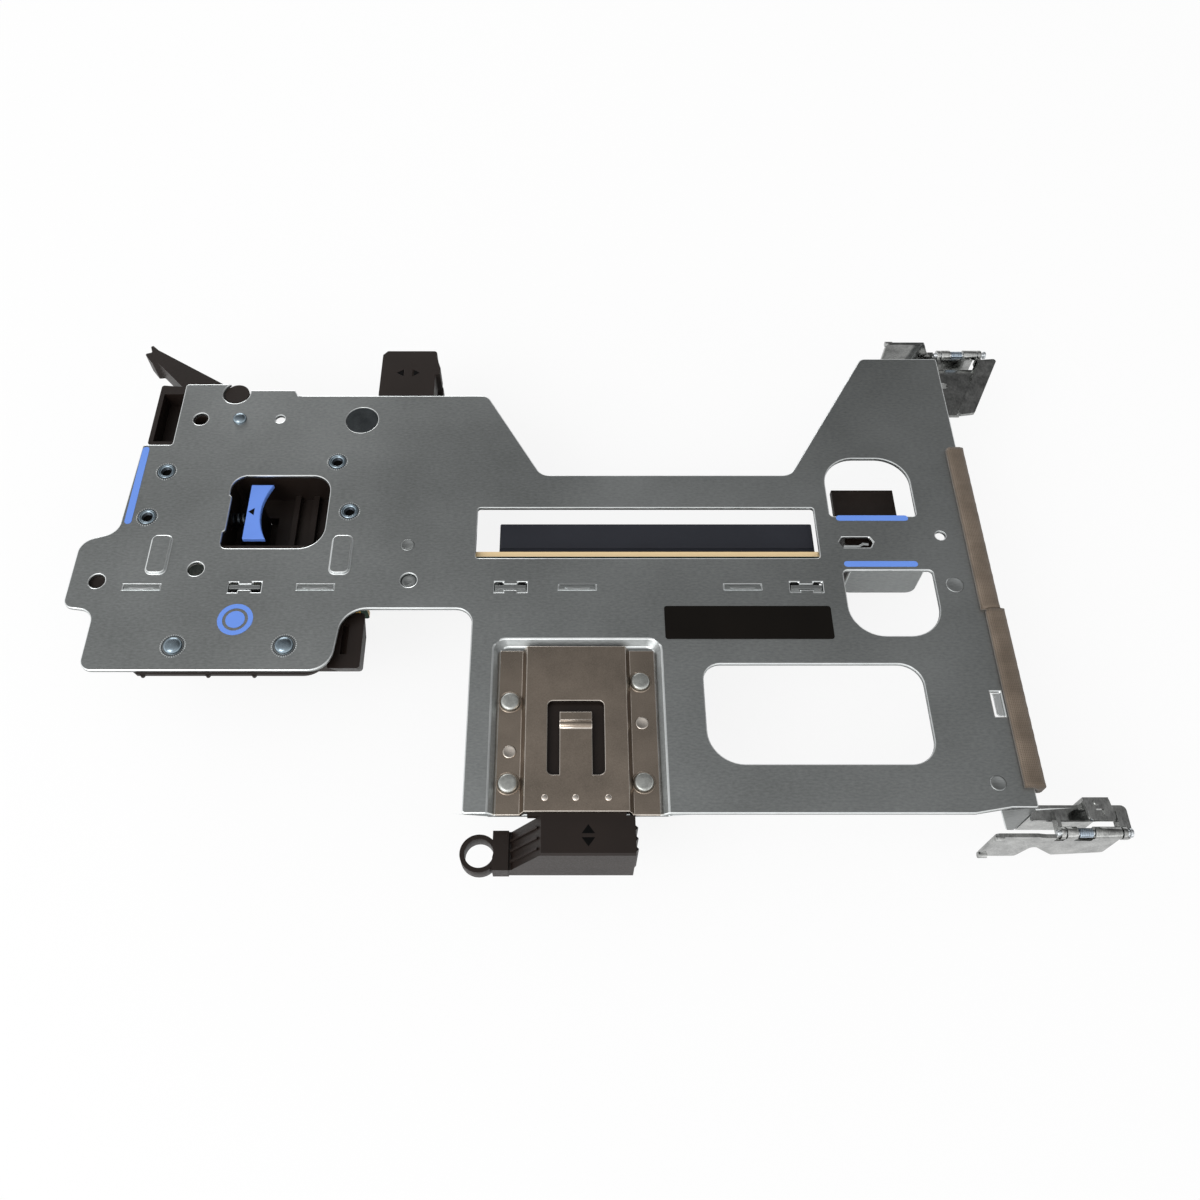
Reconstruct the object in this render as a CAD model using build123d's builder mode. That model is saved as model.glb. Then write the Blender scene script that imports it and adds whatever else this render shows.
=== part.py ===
from build123d import *
import math
import os

os.makedirs("parts", exist_ok=True)

# Riser cage of a flat rack server: a folded sheet carrier over an upright riser board.
# Millimetres. +X runs to the rear end of the server, +Y to the far side, +Z up.
# The origin is the middle of the docking edge that plugs into the system board.

# Heights above the docking edge
sheet_top = 37.0
sheet_gauge = 1.2
board_top_drop = 2.2
slot_top_drop = 5.0
board_waist = 10.0

# Card slots, which set the length of the cage
slot_length = 89.0
slot_left_x = 69.2
slot_right_x = slot_left_x + slot_length
slot_mid_x = slot_left_x + slot_length / 2

# Carrier sheet, seen from above
rear_x = slot_right_x + 44.3
wing_x = -47.0
wing_waist_x = -38.5
shoulder_x = -36.4
tab_x = -27.8
plate_left_x = 63.0
front_y = -75.8
corner_front_y = -74.3
wing_front_y = -37.3
notch_y = -18.7
rear_y = 70.7
waist_y = 25.8
wing_rear_y = 55.8
tab_rear_y = 60.4
corner_radius = 3.4

# Window over the slots
window_left_x = 63.1
window_right_x = slot_right_x - 0.2
window_front_y = -2.6
window_rear_y = 14.2

# Finger holes and the bar between them
finger_x = slot_right_x + 16.4
finger_width = 24.4
finger_depth = 20.4
finger_round = 9.0
front_finger_shift = 1.4
bar_front_y = -6.6
bar_rear_y = 11.4
bar_flange_width = 20.4
bar_flange_drop = 11.0
keyhole_x = finger_x - 6.0
keyhole_y = 2.6
keyhole_length = 9.0
keyhole_width = 3.4
grip_lip_reach = 18.0
grip_lip_gauge = 2.0

# Large opening for the front card
opening_left_x = 123.6
opening_right_x = rear_x - 22.3
opening_front_y = -63.1
opening_rear_y = -35.4

# Riser board and its slots
board_thickness = 1.6
board_left_x = -41.0
board_right_x = slot_right_x + 0.7
dock_width = 56.0
slot_height = 11.25
slot_body = 7.5
key_from_end = 14.5
contact_height = 5.6
contact_plating = 0.05

# Upright wall that carries the board
wall_y = -12.0
wall_gauge = 1.2
wall_left_x = -33.0
wall_right_x = slot_right_x + 4.6
wall_foot_z = 9.0
wall_bridge_z = 27.6
tab_fit = 0.2
slot_cut_fit = 0.6

# Rear wall and its two notches for card brackets
rear_wall_drop = 16.4
bracket_notch_height = 11.0
bracket_notch_inner_y = 8.0
bracket_notch_outer_y = 65.0
wall_flange = 8.0

# Pocket and riveted guide plate at the front edge
pocket_left_x = 69.0
pocket_right_x = 113.1
pocket_rear_y = -27.9
pocket_depth = 1.5
pocket_slope = 1.8
pocket_corner = 3.2
guide_gauge = 0.8
guide_margin = 0.2
guide_rear_gap = 1.4
channel_left_x = 77.4
channel_right_x = 104.1
channel_rise = 2.6
tongue_x = 90.6
tongue_width = 8.2
tongue_slot = 3.0
tongue_root_y = -66.6
tongue_tip_y = -46.8
roll_radius = 1.3
rivet_head_radius = 2.3
rivet_shank_radius = 1.25
rivet_fit = 0.05

# Front card holder, sliding in the guide plate
slide_fit = 0.2
front_block_left_x = 82.2
front_block_right_x = 104.8
front_block_depth = 9.7
front_block_height = 16.5
front_gap = 0.6
ramp_foot_x = 74.6
arm_left_x = 70.0
arm_height = 4.3
ring_radius = 4.8
ring_bore = 3.6
card_plane_gap = 2.2
jaw_depth = 7.5
jaw_half_height = 4.2
jaw_groove_depth = 5.0

# Rear card holder, sliding on the rear flange of the wing
rail_left_x = 12.0
rail_right_x = 60.0
rail_drop = 11.0
rail_slot_z = 29.6
rail_slot_height = 3.8
rear_block_left_x = 31.0
rear_block_right_x = 47.8
rear_block_depth = 18.2
rear_block_height = 15.0
rear_travel = 6.0
neck_width = 11.0

# Release latch and its housing under the wing
housing_left_x = -34.0
housing_right_x = 31.5
housing_front_y = 1.1
housing_rear_y = 35.0
housing_foot_z = 21.0
housing_floor = 3.0
latch_window_left_x = -8.0
spring_seat_x = -14.0
spring_drop = 7.0
spring_room = 0.6
well_left_x = -8.6
well_right_x = 21.2
well_front_y = 2.2
well_rear_y = 26.2
release_left_x = -2.9
release_right_x = 3.6
release_front_y = 4.9
release_rear_y = 23.7
release_scoop = 2.5
release_drop = 1.8
release_gauge = 1.6
release_leg_width = 10.0
release_leg_thickness = 2.6
release_toe = 2.2
release_toe_z = 6.0
release_travel = 4.0
return_coil_radius = 2.0
return_wire = 0.35

# Moulding under the front of the wing
mould_left_x = -35.5
mould_right_x = 26.0
mould_front_y = -37.8
mould_lip_left_x = -23.5
lip_gauge = 1.0
lip_bump_spots = [-22.0, -5.0, 7.0]
mould_rear_y = -13.4
mould_wall = 1.8
mould_drop = 15.0
mould_body_front_y = -29.4
bulge_right_x = 33.6
bulge_front_y = -34.6
bulge_drop = 2.8

# Cable arm at the rear corner of the wing
arm_drop = 3.0
arm_depth = 7.0
trough_left_x = -36.6
trough_front_y = 39.2
trough_wall = 1.4
post_x = -11.9
post_y = 56.9
post_radius = 3.6

# Latches that hold the card brackets
latch_gauge = 1.0
pin_radius = 0.75
pin_fit = 0.05
latch_z = 33.0
front_latch_y = -79.3
rear_latch_y = 75.9
barrel_radius = 1.5
plate_offset = 0.3
spring_wire = 0.28
spring_radius = 1.15
latch_coil_length = 4.2
first_knuckle = 2.6
knuckle_gap = 0.4
pin_reach = 0.8
latch_foot_z = 19.0
clamp_foot_z = 22.0
front_blade_left_x = rear_x - 10.3
front_blade_right_x = rear_x - 0.1
front_blade_top_z = 33.6
front_ear_left_x = rear_x + 5.3
front_ear_right_x = rear_x + 20.3
rear_blade_left_x = rear_x - 14.5
rear_blade_right_x = rear_x - 2.7
rear_blade_top_z = 37.4
rear_ear_left_x = rear_x + 2.1
rear_ear_right_x = rear_x + 14.9

# Brackets of those latches on the rear wall
front_plate_z = 30.4
front_plate_right_x = rear_x + 23.9
front_plate_rear_y = -71.7
front_plate_front_y = -80.2
front_prong_width = 3.4
keeper_left_x = rear_x + 10.9
keeper_right_x = rear_x + 17.2
keeper_front_y = -77.4
keeper_skew = 0.9
rear_floor_z = 29.0
rear_rim_z = 34.6
rear_channel_front_y = 54.0
rear_channel_rear_y = 72.6
rear_bar_front_y = 50.4
rear_bar_left_x = rear_x + 3.7
rear_bar_width = 5.4
rear_bar_skew = 0.5
bracket_leg = 8.0

# Holes and marks of the sheet
loose_hole_radius = 2.2
small_hole_radius = 1.4
flush_head_radius = 4.7
corner_slit_width = 2.6
corner_slit_length = 7.0
pad_width = 5.4
pad_length = 12.4
pad_rise = 0.7
corner_flange_left_x = rear_x - 9.1
corner_flange_drop = 17.0

# Fasteners
nut_radius = 2.35
nut_flange = 3.1
nut_bore = 1.5
nut_depth = 3.4
nut_fit = 0.05
stud_radius = 2.4
standoff_length = 9.0
spacer_radius = 2.8
screw_radius = 1.45
screw_head = 2.7
screw_head_height = 1.6
screw_fit = 0.1
screw_end_drop = 1.4

# Conductive gasket on the rear edge
front_gasket_left_x = rear_x - 2.6
rear_gasket_left_x = rear_x - 3.6
gasket_width = 5.2
gasket_height = 1.9
gasket_lip = 3.4
gasket_front_y = -69.4
gasket_seam_y = -19.6
gasket_rear_y = 34.6
gasket_seam = 0.4

sheet_under = sheet_top - sheet_gauge
board_top = sheet_top - board_top_drop
board_face = board_thickness / 2
slot_top = sheet_top - slot_top_drop
slot_foot = slot_top - slot_body
slot_mid_z = slot_top - slot_body / 2
wall_rear = wall_y + wall_gauge / 2

slit_spots = [-27.0, 20.1, 91.1, 135.9]
bow_spots = [1.0, 73.0, slot_right_x - 5.0]
slit_length = 10.0
bow_length = 8.8
slit_width = wall_gauge + 2 * tab_fit
loose_hole_spots = [(-21.1, 46.7), (-39.5, -10.1), (-13.3, -6.2), (45.2, -9.8)]
small_hole_spots = [(2.6, 46.7), (rear_x - 10.1, 4.8)]
flush_head_spot = (27.1, 46.3)
corner_slit_spot = (rear_x - 4.5, -46.8)
pad_spots = [(-24.2, -1.6), (26.0, -1.6)]
nut_spots = [(-27.6, 27.1), (-30.0, 11.1), (21.5, 30.6), (26.8, 13.0)]
mould_stud_spots = [(-15.1, -30.1), (14.1, -30.0)]
arm_stud_spot = (-9.4, 46.7)
spacer_z = 17.0
spacer_x = [-26.0, 16.0, slot_left_x + 12.8, slot_right_x - 12.2]
spacer_spots = [(x, spacer_z) for x in spacer_x]
regulator_spots = [(slot_mid_x - 15.7, 17.5), (slot_mid_x + 6.3, 17.5)]
rivet_spots = [(73.9, -46.0), (73.9, -68.0), (107.2, -40.3), (107.2, -67.7)]


def facing_front(y):
    """Plane with X to the right and Z up, at this distance; its normal points to -Y."""
    return Plane.XZ.offset(-y)


def facing_rear(x):
    """Plane with Y to the right and Z up; its normal points to +X."""
    return Plane.YZ.offset(x)


def level(z):
    return Plane.XY.offset(z)


def rounded(points, radii):
    """Face with a corner at each point, rounded by its own radius."""
    with BuildLine() as edge:
        FilletPolyline(*points, radius=radii, close=True)
    make_face(edge.edges())


def box_between(low, high, mode=Mode.ADD):
    """Block between two opposite corners."""
    size = [high[i] - low[i] for i in range(3)]
    middle = [(high[i] + low[i]) / 2 for i in range(3)]
    with Locations(tuple(middle)):
        Box(*size, mode=mode)


def save(piece, name):
    piece.part.label = name
    export_step(piece.part, "parts/" + name + ".step")


# Carrier: top sheet, pocket, grip flanges, holder rail and front corner flange in one folded piece
pocket_floor_top = sheet_top - pocket_depth
pocket_floor_under = pocket_floor_top - sheet_gauge
rail_front_y = wing_rear_y - sheet_gauge
slot_margin = rear_travel + rail_slot_height / 2 + slide_fit
rail_slot_left = (rear_block_left_x + rear_block_right_x) / 2 - neck_width / 2 - slot_margin
rail_slot_right = (rear_block_left_x + rear_block_right_x) / 2 + neck_width / 2 + slot_margin

keyhole_reach = (keyhole_length - keyhole_width) / 2

outline = [
    (tab_x, tab_rear_y), (post_x, tab_rear_y), (post_x, tab_rear_y - 2.4), (5.6, tab_rear_y - 2.4),
    (6.8, wing_rear_y), (64.2, wing_rear_y), (80.8, waist_y), (rear_x - 49.8, waist_y),
    (rear_x - 23.5, rear_y), (rear_x, rear_y), (rear_x, corner_front_y), (rear_x - 6.5, corner_front_y),
    (rear_x - 15.5, front_y), (plate_left_x, front_y), (plate_left_x, notch_y), (28.4, notch_y),
    (26.7, wing_front_y), (wing_waist_x, wing_front_y), (wing_waist_x, -19.4), (wing_x, -18.2),
    (wing_x, 2.8), (-37.2, 6.0), (shoulder_x, 37.0), (tab_x, 37.0),
]
outline_radii = [
    0.8, 0.5, 0.5, 0.6,
    0.6, 3.2, 4.0, 4.0,
    2.6, 0.8, 0.6, 2.0,
    2.0, 0.8, 4.5, 7.0,
    6.5, corner_radius, 4.0, 2.8,
    5.0, 4.5, 0.8, 0.8,
]
finger_left = finger_x - finger_width / 2
finger_right = finger_x + finger_width / 2

with BuildPart() as carrier:
    with BuildSketch(level(sheet_under)):
        rounded(outline, outline_radii)
        with Locations((post_x, post_y)):
            Circle(post_radius + 0.5, mode=Mode.SUBTRACT)
        with Locations(((window_left_x + window_right_x) / 2, (window_front_y + window_rear_y) / 2)):
            RectangleRounded(
                window_right_x - window_left_x, window_rear_y - window_front_y, 0.8, mode=Mode.SUBTRACT
            )
        for x in slit_spots:
            with Locations((x, wall_y)):
                Rectangle(slit_length, slit_width, mode=Mode.SUBTRACT)
        for x in bow_spots:
            with Locations((x, wall_y)):
                Rectangle(bow_length, slit_width, mode=Mode.SUBTRACT)
            for side in (-1, 1):
                with Locations((x + side * bow_length * 0.36, wall_y)):
                    Rectangle(bow_length * 0.28, slit_width * 2, mode=Mode.SUBTRACT)
        with Locations((keyhole_x, keyhole_y)):
            Rectangle(keyhole_length - keyhole_width, keyhole_width, mode=Mode.SUBTRACT)
        with Locations((keyhole_x - keyhole_reach, keyhole_y), (keyhole_x + keyhole_reach, keyhole_y)):
            RegularPolygon(keyhole_width / math.sqrt(3), 6, mode=Mode.SUBTRACT)
        with Locations(*loose_hole_spots):
            Circle(loose_hole_radius, mode=Mode.SUBTRACT)
        with Locations(*small_hole_spots):
            Circle(small_hole_radius, mode=Mode.SUBTRACT)
        with Locations(*nut_spots):
            Circle(nut_radius + nut_fit, mode=Mode.SUBTRACT)
        with Locations(*mould_stud_spots, arm_stud_spot):
            Circle(rivet_shank_radius + rivet_fit, mode=Mode.SUBTRACT)
        with Locations(flush_head_spot):
            Circle(flush_head_radius + nut_fit, mode=Mode.SUBTRACT)
        with Locations(corner_slit_spot):
            Rectangle(corner_slit_width, corner_slit_length, mode=Mode.SUBTRACT)
    extrude(amount=sheet_gauge)
    with BuildSketch(level(sheet_under)):
        rounded(
            [
                (finger_left, bar_rear_y), (finger_right, bar_rear_y),
                (finger_right, bar_rear_y + finger_depth), (finger_left, bar_rear_y + finger_depth),
            ],
            [1.2, 1.2, finger_round, finger_round],
        )
    extrude(amount=sheet_gauge, mode=Mode.SUBTRACT)
    with BuildSketch(level(sheet_under)):
        rounded(
            [
                (finger_left + front_finger_shift, bar_front_y),
                (finger_right + front_finger_shift, bar_front_y),
                (finger_right + front_finger_shift, bar_front_y - finger_depth),
                (finger_left + front_finger_shift, bar_front_y - finger_depth),
            ],
            [1.2, 1.2, finger_round, finger_round],
        )
    extrude(amount=sheet_gauge, mode=Mode.SUBTRACT)
    with BuildSketch(level(sheet_under)):
        rounded(
            [
                (opening_left_x, opening_rear_y), (opening_right_x, opening_rear_y),
                (opening_right_x, opening_front_y), (opening_left_x, opening_front_y),
            ],
            [4.5, 6.0, 6.5, 9.0],
        )
    extrude(amount=sheet_gauge, mode=Mode.SUBTRACT)
    with BuildSketch(level(sheet_under)):
        rounded(
            [
                (latch_window_left_x, 25.5), (20.5, 25.5), (20.5, 0.6), (latch_window_left_x, 0.6),
                (latch_window_left_x, 6.0), (latch_window_left_x + 0.7, 6.7),
                (latch_window_left_x + 0.7, 18.3), (latch_window_left_x, 19.0),
            ],
            [4.5, 5.5, 7.0, 2.0, 0.3, 0.3, 0.3, 0.3],
        )
    extrude(amount=sheet_gauge, mode=Mode.SUBTRACT)
    # Embossed pads of the wing
    with BuildSketch(level(sheet_top)):
        with Locations(*pad_spots):
            RectangleRounded(pad_width, pad_length, 1.6)
    extrude(amount=pad_rise)
    # Drawn pocket for the guide plate, open at the front edge
    with BuildSketch(level(pocket_floor_under)):
        rounded(
            [
                (pocket_left_x, front_y), (pocket_left_x, pocket_rear_y),
                (pocket_right_x, pocket_rear_y), (pocket_right_x, front_y),
            ],
            [0.2, pocket_corner, pocket_corner, 0.2],
        )
    extrude(amount=sheet_top - pocket_floor_under)
    for z, inset in ((pocket_floor_top, pocket_slope), (sheet_top, 0)):
        with BuildSketch(level(z)):
            rounded(
                [
                    (pocket_left_x + inset, front_y - 2.0), (pocket_left_x + inset, pocket_rear_y - inset),
                    (pocket_right_x - inset, pocket_rear_y - inset), (pocket_right_x - inset, front_y - 2.0),
                ],
                [0.2, pocket_corner - inset / 2, pocket_corner - inset / 2, 0.2],
            )
    loft(mode=Mode.SUBTRACT)
    with BuildSketch(level(pocket_floor_under)):
        with Locations(*rivet_spots):
            Circle(rivet_shank_radius + rivet_fit)
    extrude(amount=sheet_gauge, mode=Mode.SUBTRACT)
    # Flanges turned down at both sides of the grip bar
    for y, x in ((bar_rear_y, finger_x), (bar_front_y + sheet_gauge, finger_x + front_finger_shift)):
        with BuildSketch(facing_front(y)):
            with Locations((x, sheet_under - bar_flange_drop / 2 + 1)):
                RectangleRounded(bar_flange_width, bar_flange_drop + 2, 2.5)
            with Locations((x, sheet_top + 5)):
                Rectangle(bar_flange_width + 2, 10, mode=Mode.SUBTRACT)
        extrude(amount=sheet_gauge)
    # Rail turned down along the rear edge of the wing, slotted for the card holder
    with BuildSketch(facing_front(wing_rear_y)):
        with Locations(((rail_left_x + rail_right_x) / 2, sheet_under - rail_drop / 2)):
            Rectangle(rail_right_x - rail_left_x, rail_drop)
        with Locations(((rail_slot_left + rail_slot_right) / 2, rail_slot_z + rail_slot_height / 2)):
            SlotOverall(rail_slot_right - rail_slot_left, rail_slot_height, mode=Mode.SUBTRACT)
    extrude(amount=sheet_gauge)
    # Tapered flange at the front corner
    corner_flange_foot = sheet_top - corner_flange_drop
    with BuildSketch(facing_front(corner_front_y + sheet_gauge)):
        rounded(
            [
                (corner_flange_left_x, sheet_under), (rear_x - 0.1, sheet_under),
                (rear_x - 0.1, corner_flange_foot), (rear_x - 2.2, corner_flange_foot),
            ],
            [0.2, 0.2, 0.5, 0.8],
        )
    extrude(amount=sheet_gauge)
save(carrier, "carrier")

# Rear wall: notched for the two card brackets, with flanges under the sheet
wall_foot = sheet_top - rear_wall_drop
rear_wall_start = corner_front_y + sheet_gauge + 0.2
rear_wall_end = rear_y - 0.2
with BuildPart() as rear_wall:
    with BuildSketch(facing_rear(rear_x - sheet_gauge)):
        with Locations(((rear_wall_end + rear_wall_start) / 2, (sheet_under + wall_foot) / 2)):
            Rectangle(rear_wall_end - rear_wall_start, sheet_under - wall_foot)
        for side in (-1, 1):
            notch_y_middle = side * (bracket_notch_inner_y + bracket_notch_outer_y) / 2
            with Locations((notch_y_middle, wall_foot + bracket_notch_height / 2 - 2.0)):
                RectangleRounded(
                    bracket_notch_outer_y - bracket_notch_inner_y,
                    bracket_notch_height + 4.0,
                    1.2,
                    mode=Mode.SUBTRACT,
                )
    extrude(amount=sheet_gauge)
    for start_y, stop_y in ((36.0, rear_y - 2.0), (-16.0, 0.0), (rear_wall_start + 0.8, -54.0)):
        box_between(
            (rear_x - sheet_gauge - wall_flange, start_y, sheet_under - sheet_gauge),
            (rear_x - sheet_gauge, stop_y, sheet_under),
        )
save(rear_wall, "rear_wall")

# Upright wall in front of the board, with tabs staked into the sheet
with BuildPart() as board_wall:
    with BuildSketch(facing_front(wall_rear)):
        rounded(
            [
                (wall_left_x, sheet_under), (wall_right_x, sheet_under),
                (wall_right_x, wall_foot_z + 3.0), (plate_left_x + 3.0, wall_foot_z),
                (plate_left_x + 1.0, wall_bridge_z), (28.0, wall_bridge_z),
                (24.0, wall_foot_z + 4.0), (wall_left_x, wall_foot_z + 4.0),
            ],
            [0.5, 0.5, 2.0, 2.0, 3.0, 3.0, 2.0, 2.0],
        )
        for x in slit_spots:
            with Locations((x, sheet_under + sheet_gauge / 2)):
                Rectangle(slit_length - 2 * tab_fit, sheet_gauge)
        for x in bow_spots:
            with Locations((x, sheet_under + sheet_gauge / 2)):
                Rectangle(bow_length - 2 * tab_fit, sheet_gauge)
        with Locations((slot_mid_x, slot_mid_z)):
            Rectangle(slot_length + 2 * slot_cut_fit, slot_body + 2 * slot_cut_fit, mode=Mode.SUBTRACT)
        with Locations((-5.0, 24.0)):
            RectangleRounded(20.0, 11.0, 2.5, mode=Mode.SUBTRACT)
        with Locations((slot_mid_x, 17.2)):
            RectangleRounded(34.0, 6.0, 2.0, mode=Mode.SUBTRACT)
        with Locations(*spacer_spots):
            Circle(screw_radius + screw_fit, mode=Mode.SUBTRACT)
    extrude(amount=wall_gauge)
save(board_wall, "board_wall")

# Riser board with its docking tongue
dock_key_x = -dock_width / 2 + key_from_end
with BuildPart() as riser_board:
    with BuildSketch(facing_front(board_face)):
        rounded(
            [
                (board_left_x, board_top), (board_right_x, board_top),
                (board_right_x, board_waist + 2.0), (dock_width / 2 + 20.0, board_waist + 2.0),
                (dock_width / 2 + 16.0, board_waist), (dock_width / 2, board_waist),
                (dock_width / 2, 0), (-dock_width / 2, 0),
            ],
            [1.0, 1.0, 1.0, 0.8, 0.8, 1.0, 0.9, 0.9],
        )
        with Locations((dock_key_x, 3.5)):
            Rectangle(1.9, 7.2, mode=Mode.SUBTRACT)
        with Locations(*spacer_spots):
            Circle(screw_radius + screw_fit, mode=Mode.SUBTRACT)
    extrude(amount=board_thickness)
save(riser_board, "riser_board")

# Plated contact strips on both faces of the docking edge, one each side of the key
with BuildPart() as dock_contacts:
    for face_y in (-board_face, board_face + contact_plating):
        with BuildSketch(facing_front(face_y)):
            for start, stop in (
                (-dock_width / 2 + 1.5, dock_key_x - 1.6),
                (dock_key_x + 1.6, dock_width / 2 - 1.5),
            ):
                with Locations(((start + stop) / 2, 0.9 + contact_height / 2)):
                    Rectangle(stop - start, contact_height)
        extrude(amount=contact_plating)
save(dock_contacts, "dock_contacts")


def card_slot(name, side):
    """Card edge slot standing off one face of the board."""
    base = side * board_face
    mouth = side * (board_face + slot_height)
    with BuildPart() as slot:
        box_between(
            (slot_left_x, min(base, mouth), slot_foot),
            (slot_right_x, max(base, mouth), slot_top),
        )
        fillet(slot.edges().filter_by(Axis.Y), 0.6)
        key_x = slot_left_x + key_from_end
        for start, stop in ((slot_left_x + 1.7, key_x - 0.9), (key_x + 0.9, slot_right_x - 1.7)):
            box_between(
                (start, min(mouth - side * 8.2, mouth), slot_mid_z - 0.95),
                (stop, max(mouth - side * 8.2, mouth), slot_mid_z + 0.95),
                mode=Mode.SUBTRACT,
            )
            box_between(
                (start - 0.5, min(mouth - side * 0.6, mouth), slot_mid_z - 1.5),
                (stop + 0.5, max(mouth - side * 0.6, mouth), slot_mid_z + 1.5),
                mode=Mode.SUBTRACT,
            )
        # Shallow steps along the sides of the housing
        for z_side in (-1, 1):
            edge_z = slot_mid_z + z_side * slot_body / 2
            box_between(
                (slot_left_x - 1, min(base, base + side * 3.0), min(edge_z, edge_z - z_side * 0.4)),
                (slot_right_x + 1, max(base, base + side * 3.0), max(edge_z, edge_z - z_side * 0.4)),
                mode=Mode.SUBTRACT,
            )
    save(slot, name)


card_slot("rear_slot", 1)
card_slot("front_slot", -1)

# Spacers between wall and board, with the screws that hold them
spacer_length = -wall_rear - board_face
with BuildPart() as board_spacers:
    with BuildSketch(facing_front(-board_face)):
        with Locations(*spacer_spots):
            RegularPolygon(spacer_radius, 6)
            Circle(screw_radius + screw_fit / 2, mode=Mode.SUBTRACT)
    extrude(amount=spacer_length)
save(board_spacers, "board_spacers")

with BuildPart() as board_screws:
    with BuildSketch(facing_front(board_face + screw_head_height)):
        with Locations(*spacer_spots):
            Circle(screw_head)
    extrude(amount=screw_head_height)
    with BuildSketch(facing_front(board_face)):
        with Locations(*spacer_spots):
            Circle(screw_radius)
    extrude(amount=board_thickness + 5.0)
save(board_screws, "board_screws")

# Regulators and capacitors on the far face of the board
with BuildPart() as board_parts:
    with BuildSketch(facing_front(board_face + 1.3)):
        with Locations(*regulator_spots):
            Rectangle(7.0, 7.0)
    extrude(amount=1.3)
    with BuildSketch(facing_front(board_face + 2.2)):
        with Locations((62.0, 18.0)):
            with GridLocations(6.0, 6.5, 2, 2):
                Rectangle(4.2, 2.8)
        with Locations((slot_right_x - 24.2, 17.5)):
            with GridLocations(5.0, 5.0, 2, 2):
                Rectangle(2.8, 2.8)
    extrude(amount=2.2)
save(board_parts, "board_parts")

# Guide plate: a shallow channel with a spring tongue between two riveted flanges
guide_foot = pocket_floor_top
guide_left = pocket_left_x + pocket_slope + guide_margin
guide_right = pocket_right_x - pocket_slope - guide_margin
guide_rear = pocket_rear_y - pocket_slope - guide_rear_gap
guide_front = front_y - 0.2
channel_roof = guide_foot + channel_rise
with BuildPart() as guide_plate:
    with BuildSketch(facing_front(guide_rear)):
        with BuildLine():
            Polyline(
                (guide_left, guide_foot), (channel_left_x, guide_foot),
                (channel_left_x + 1.2, channel_roof), (channel_right_x - 1.2, channel_roof),
                (channel_right_x, guide_foot), (guide_right, guide_foot),
                (guide_right, guide_foot + guide_gauge),
                (channel_right_x + 0.6, guide_foot + guide_gauge),
                (channel_right_x - 0.6, channel_roof + guide_gauge),
                (channel_left_x + 0.6, channel_roof + guide_gauge),
                (channel_left_x - 0.6, guide_foot + guide_gauge),
                (guide_left, guide_foot + guide_gauge), close=True,
            )
        make_face()
    extrude(amount=guide_rear - guide_front)
    # Slot that frees the spring tongue on three sides
    tongue_mid_y = (tongue_root_y + tongue_tip_y) / 2
    with BuildSketch(level(channel_roof - 0.5)):
        with Locations((tongue_x, tongue_mid_y)):
            RectangleRounded(tongue_width + 2 * tongue_slot, tongue_tip_y - tongue_root_y, 1.4)
        with Locations((tongue_x, tongue_mid_y - tongue_slot / 2)):
            Rectangle(tongue_width, tongue_tip_y - tongue_root_y - tongue_slot, mode=Mode.SUBTRACT)
    extrude(amount=guide_gauge + 1.0, mode=Mode.SUBTRACT)
    # Raised roll across the tongue
    roll_y = tongue_tip_y - tongue_slot - 3.4
    with BuildSketch(facing_rear(tongue_x - tongue_width / 2)):
        with Locations((roll_y, channel_roof + guide_gauge - roll_radius / 2)):
            Circle(roll_radius)
        with Locations((roll_y, channel_roof + 0.1 - roll_radius)):
            Rectangle(3 * roll_radius, 2 * roll_radius, mode=Mode.SUBTRACT)
    extrude(amount=tongue_width)
    with BuildSketch(level(guide_foot)):
        with Locations(*rivet_spots):
            Circle(rivet_shank_radius + rivet_fit)
    extrude(amount=guide_gauge, mode=Mode.SUBTRACT)
save(guide_plate, "guide_plate")

with BuildPart() as guide_rivets:
    with BuildSketch(level(guide_foot + guide_gauge)):
        with Locations(*rivet_spots):
            Circle(rivet_head_radius)
    extrude(amount=0.9, taper=22)
    with BuildSketch(level(pocket_floor_under)):
        with Locations(*rivet_spots):
            Circle(rivet_shank_radius)
    extrude(amount=sheet_gauge + guide_gauge)
    with BuildSketch(level(pocket_floor_under - 0.8)):
        with Locations(*rivet_spots):
            Circle(rivet_head_radius - 0.3)
    extrude(amount=0.8)
save(guide_rivets, "guide_rivets")

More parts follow.
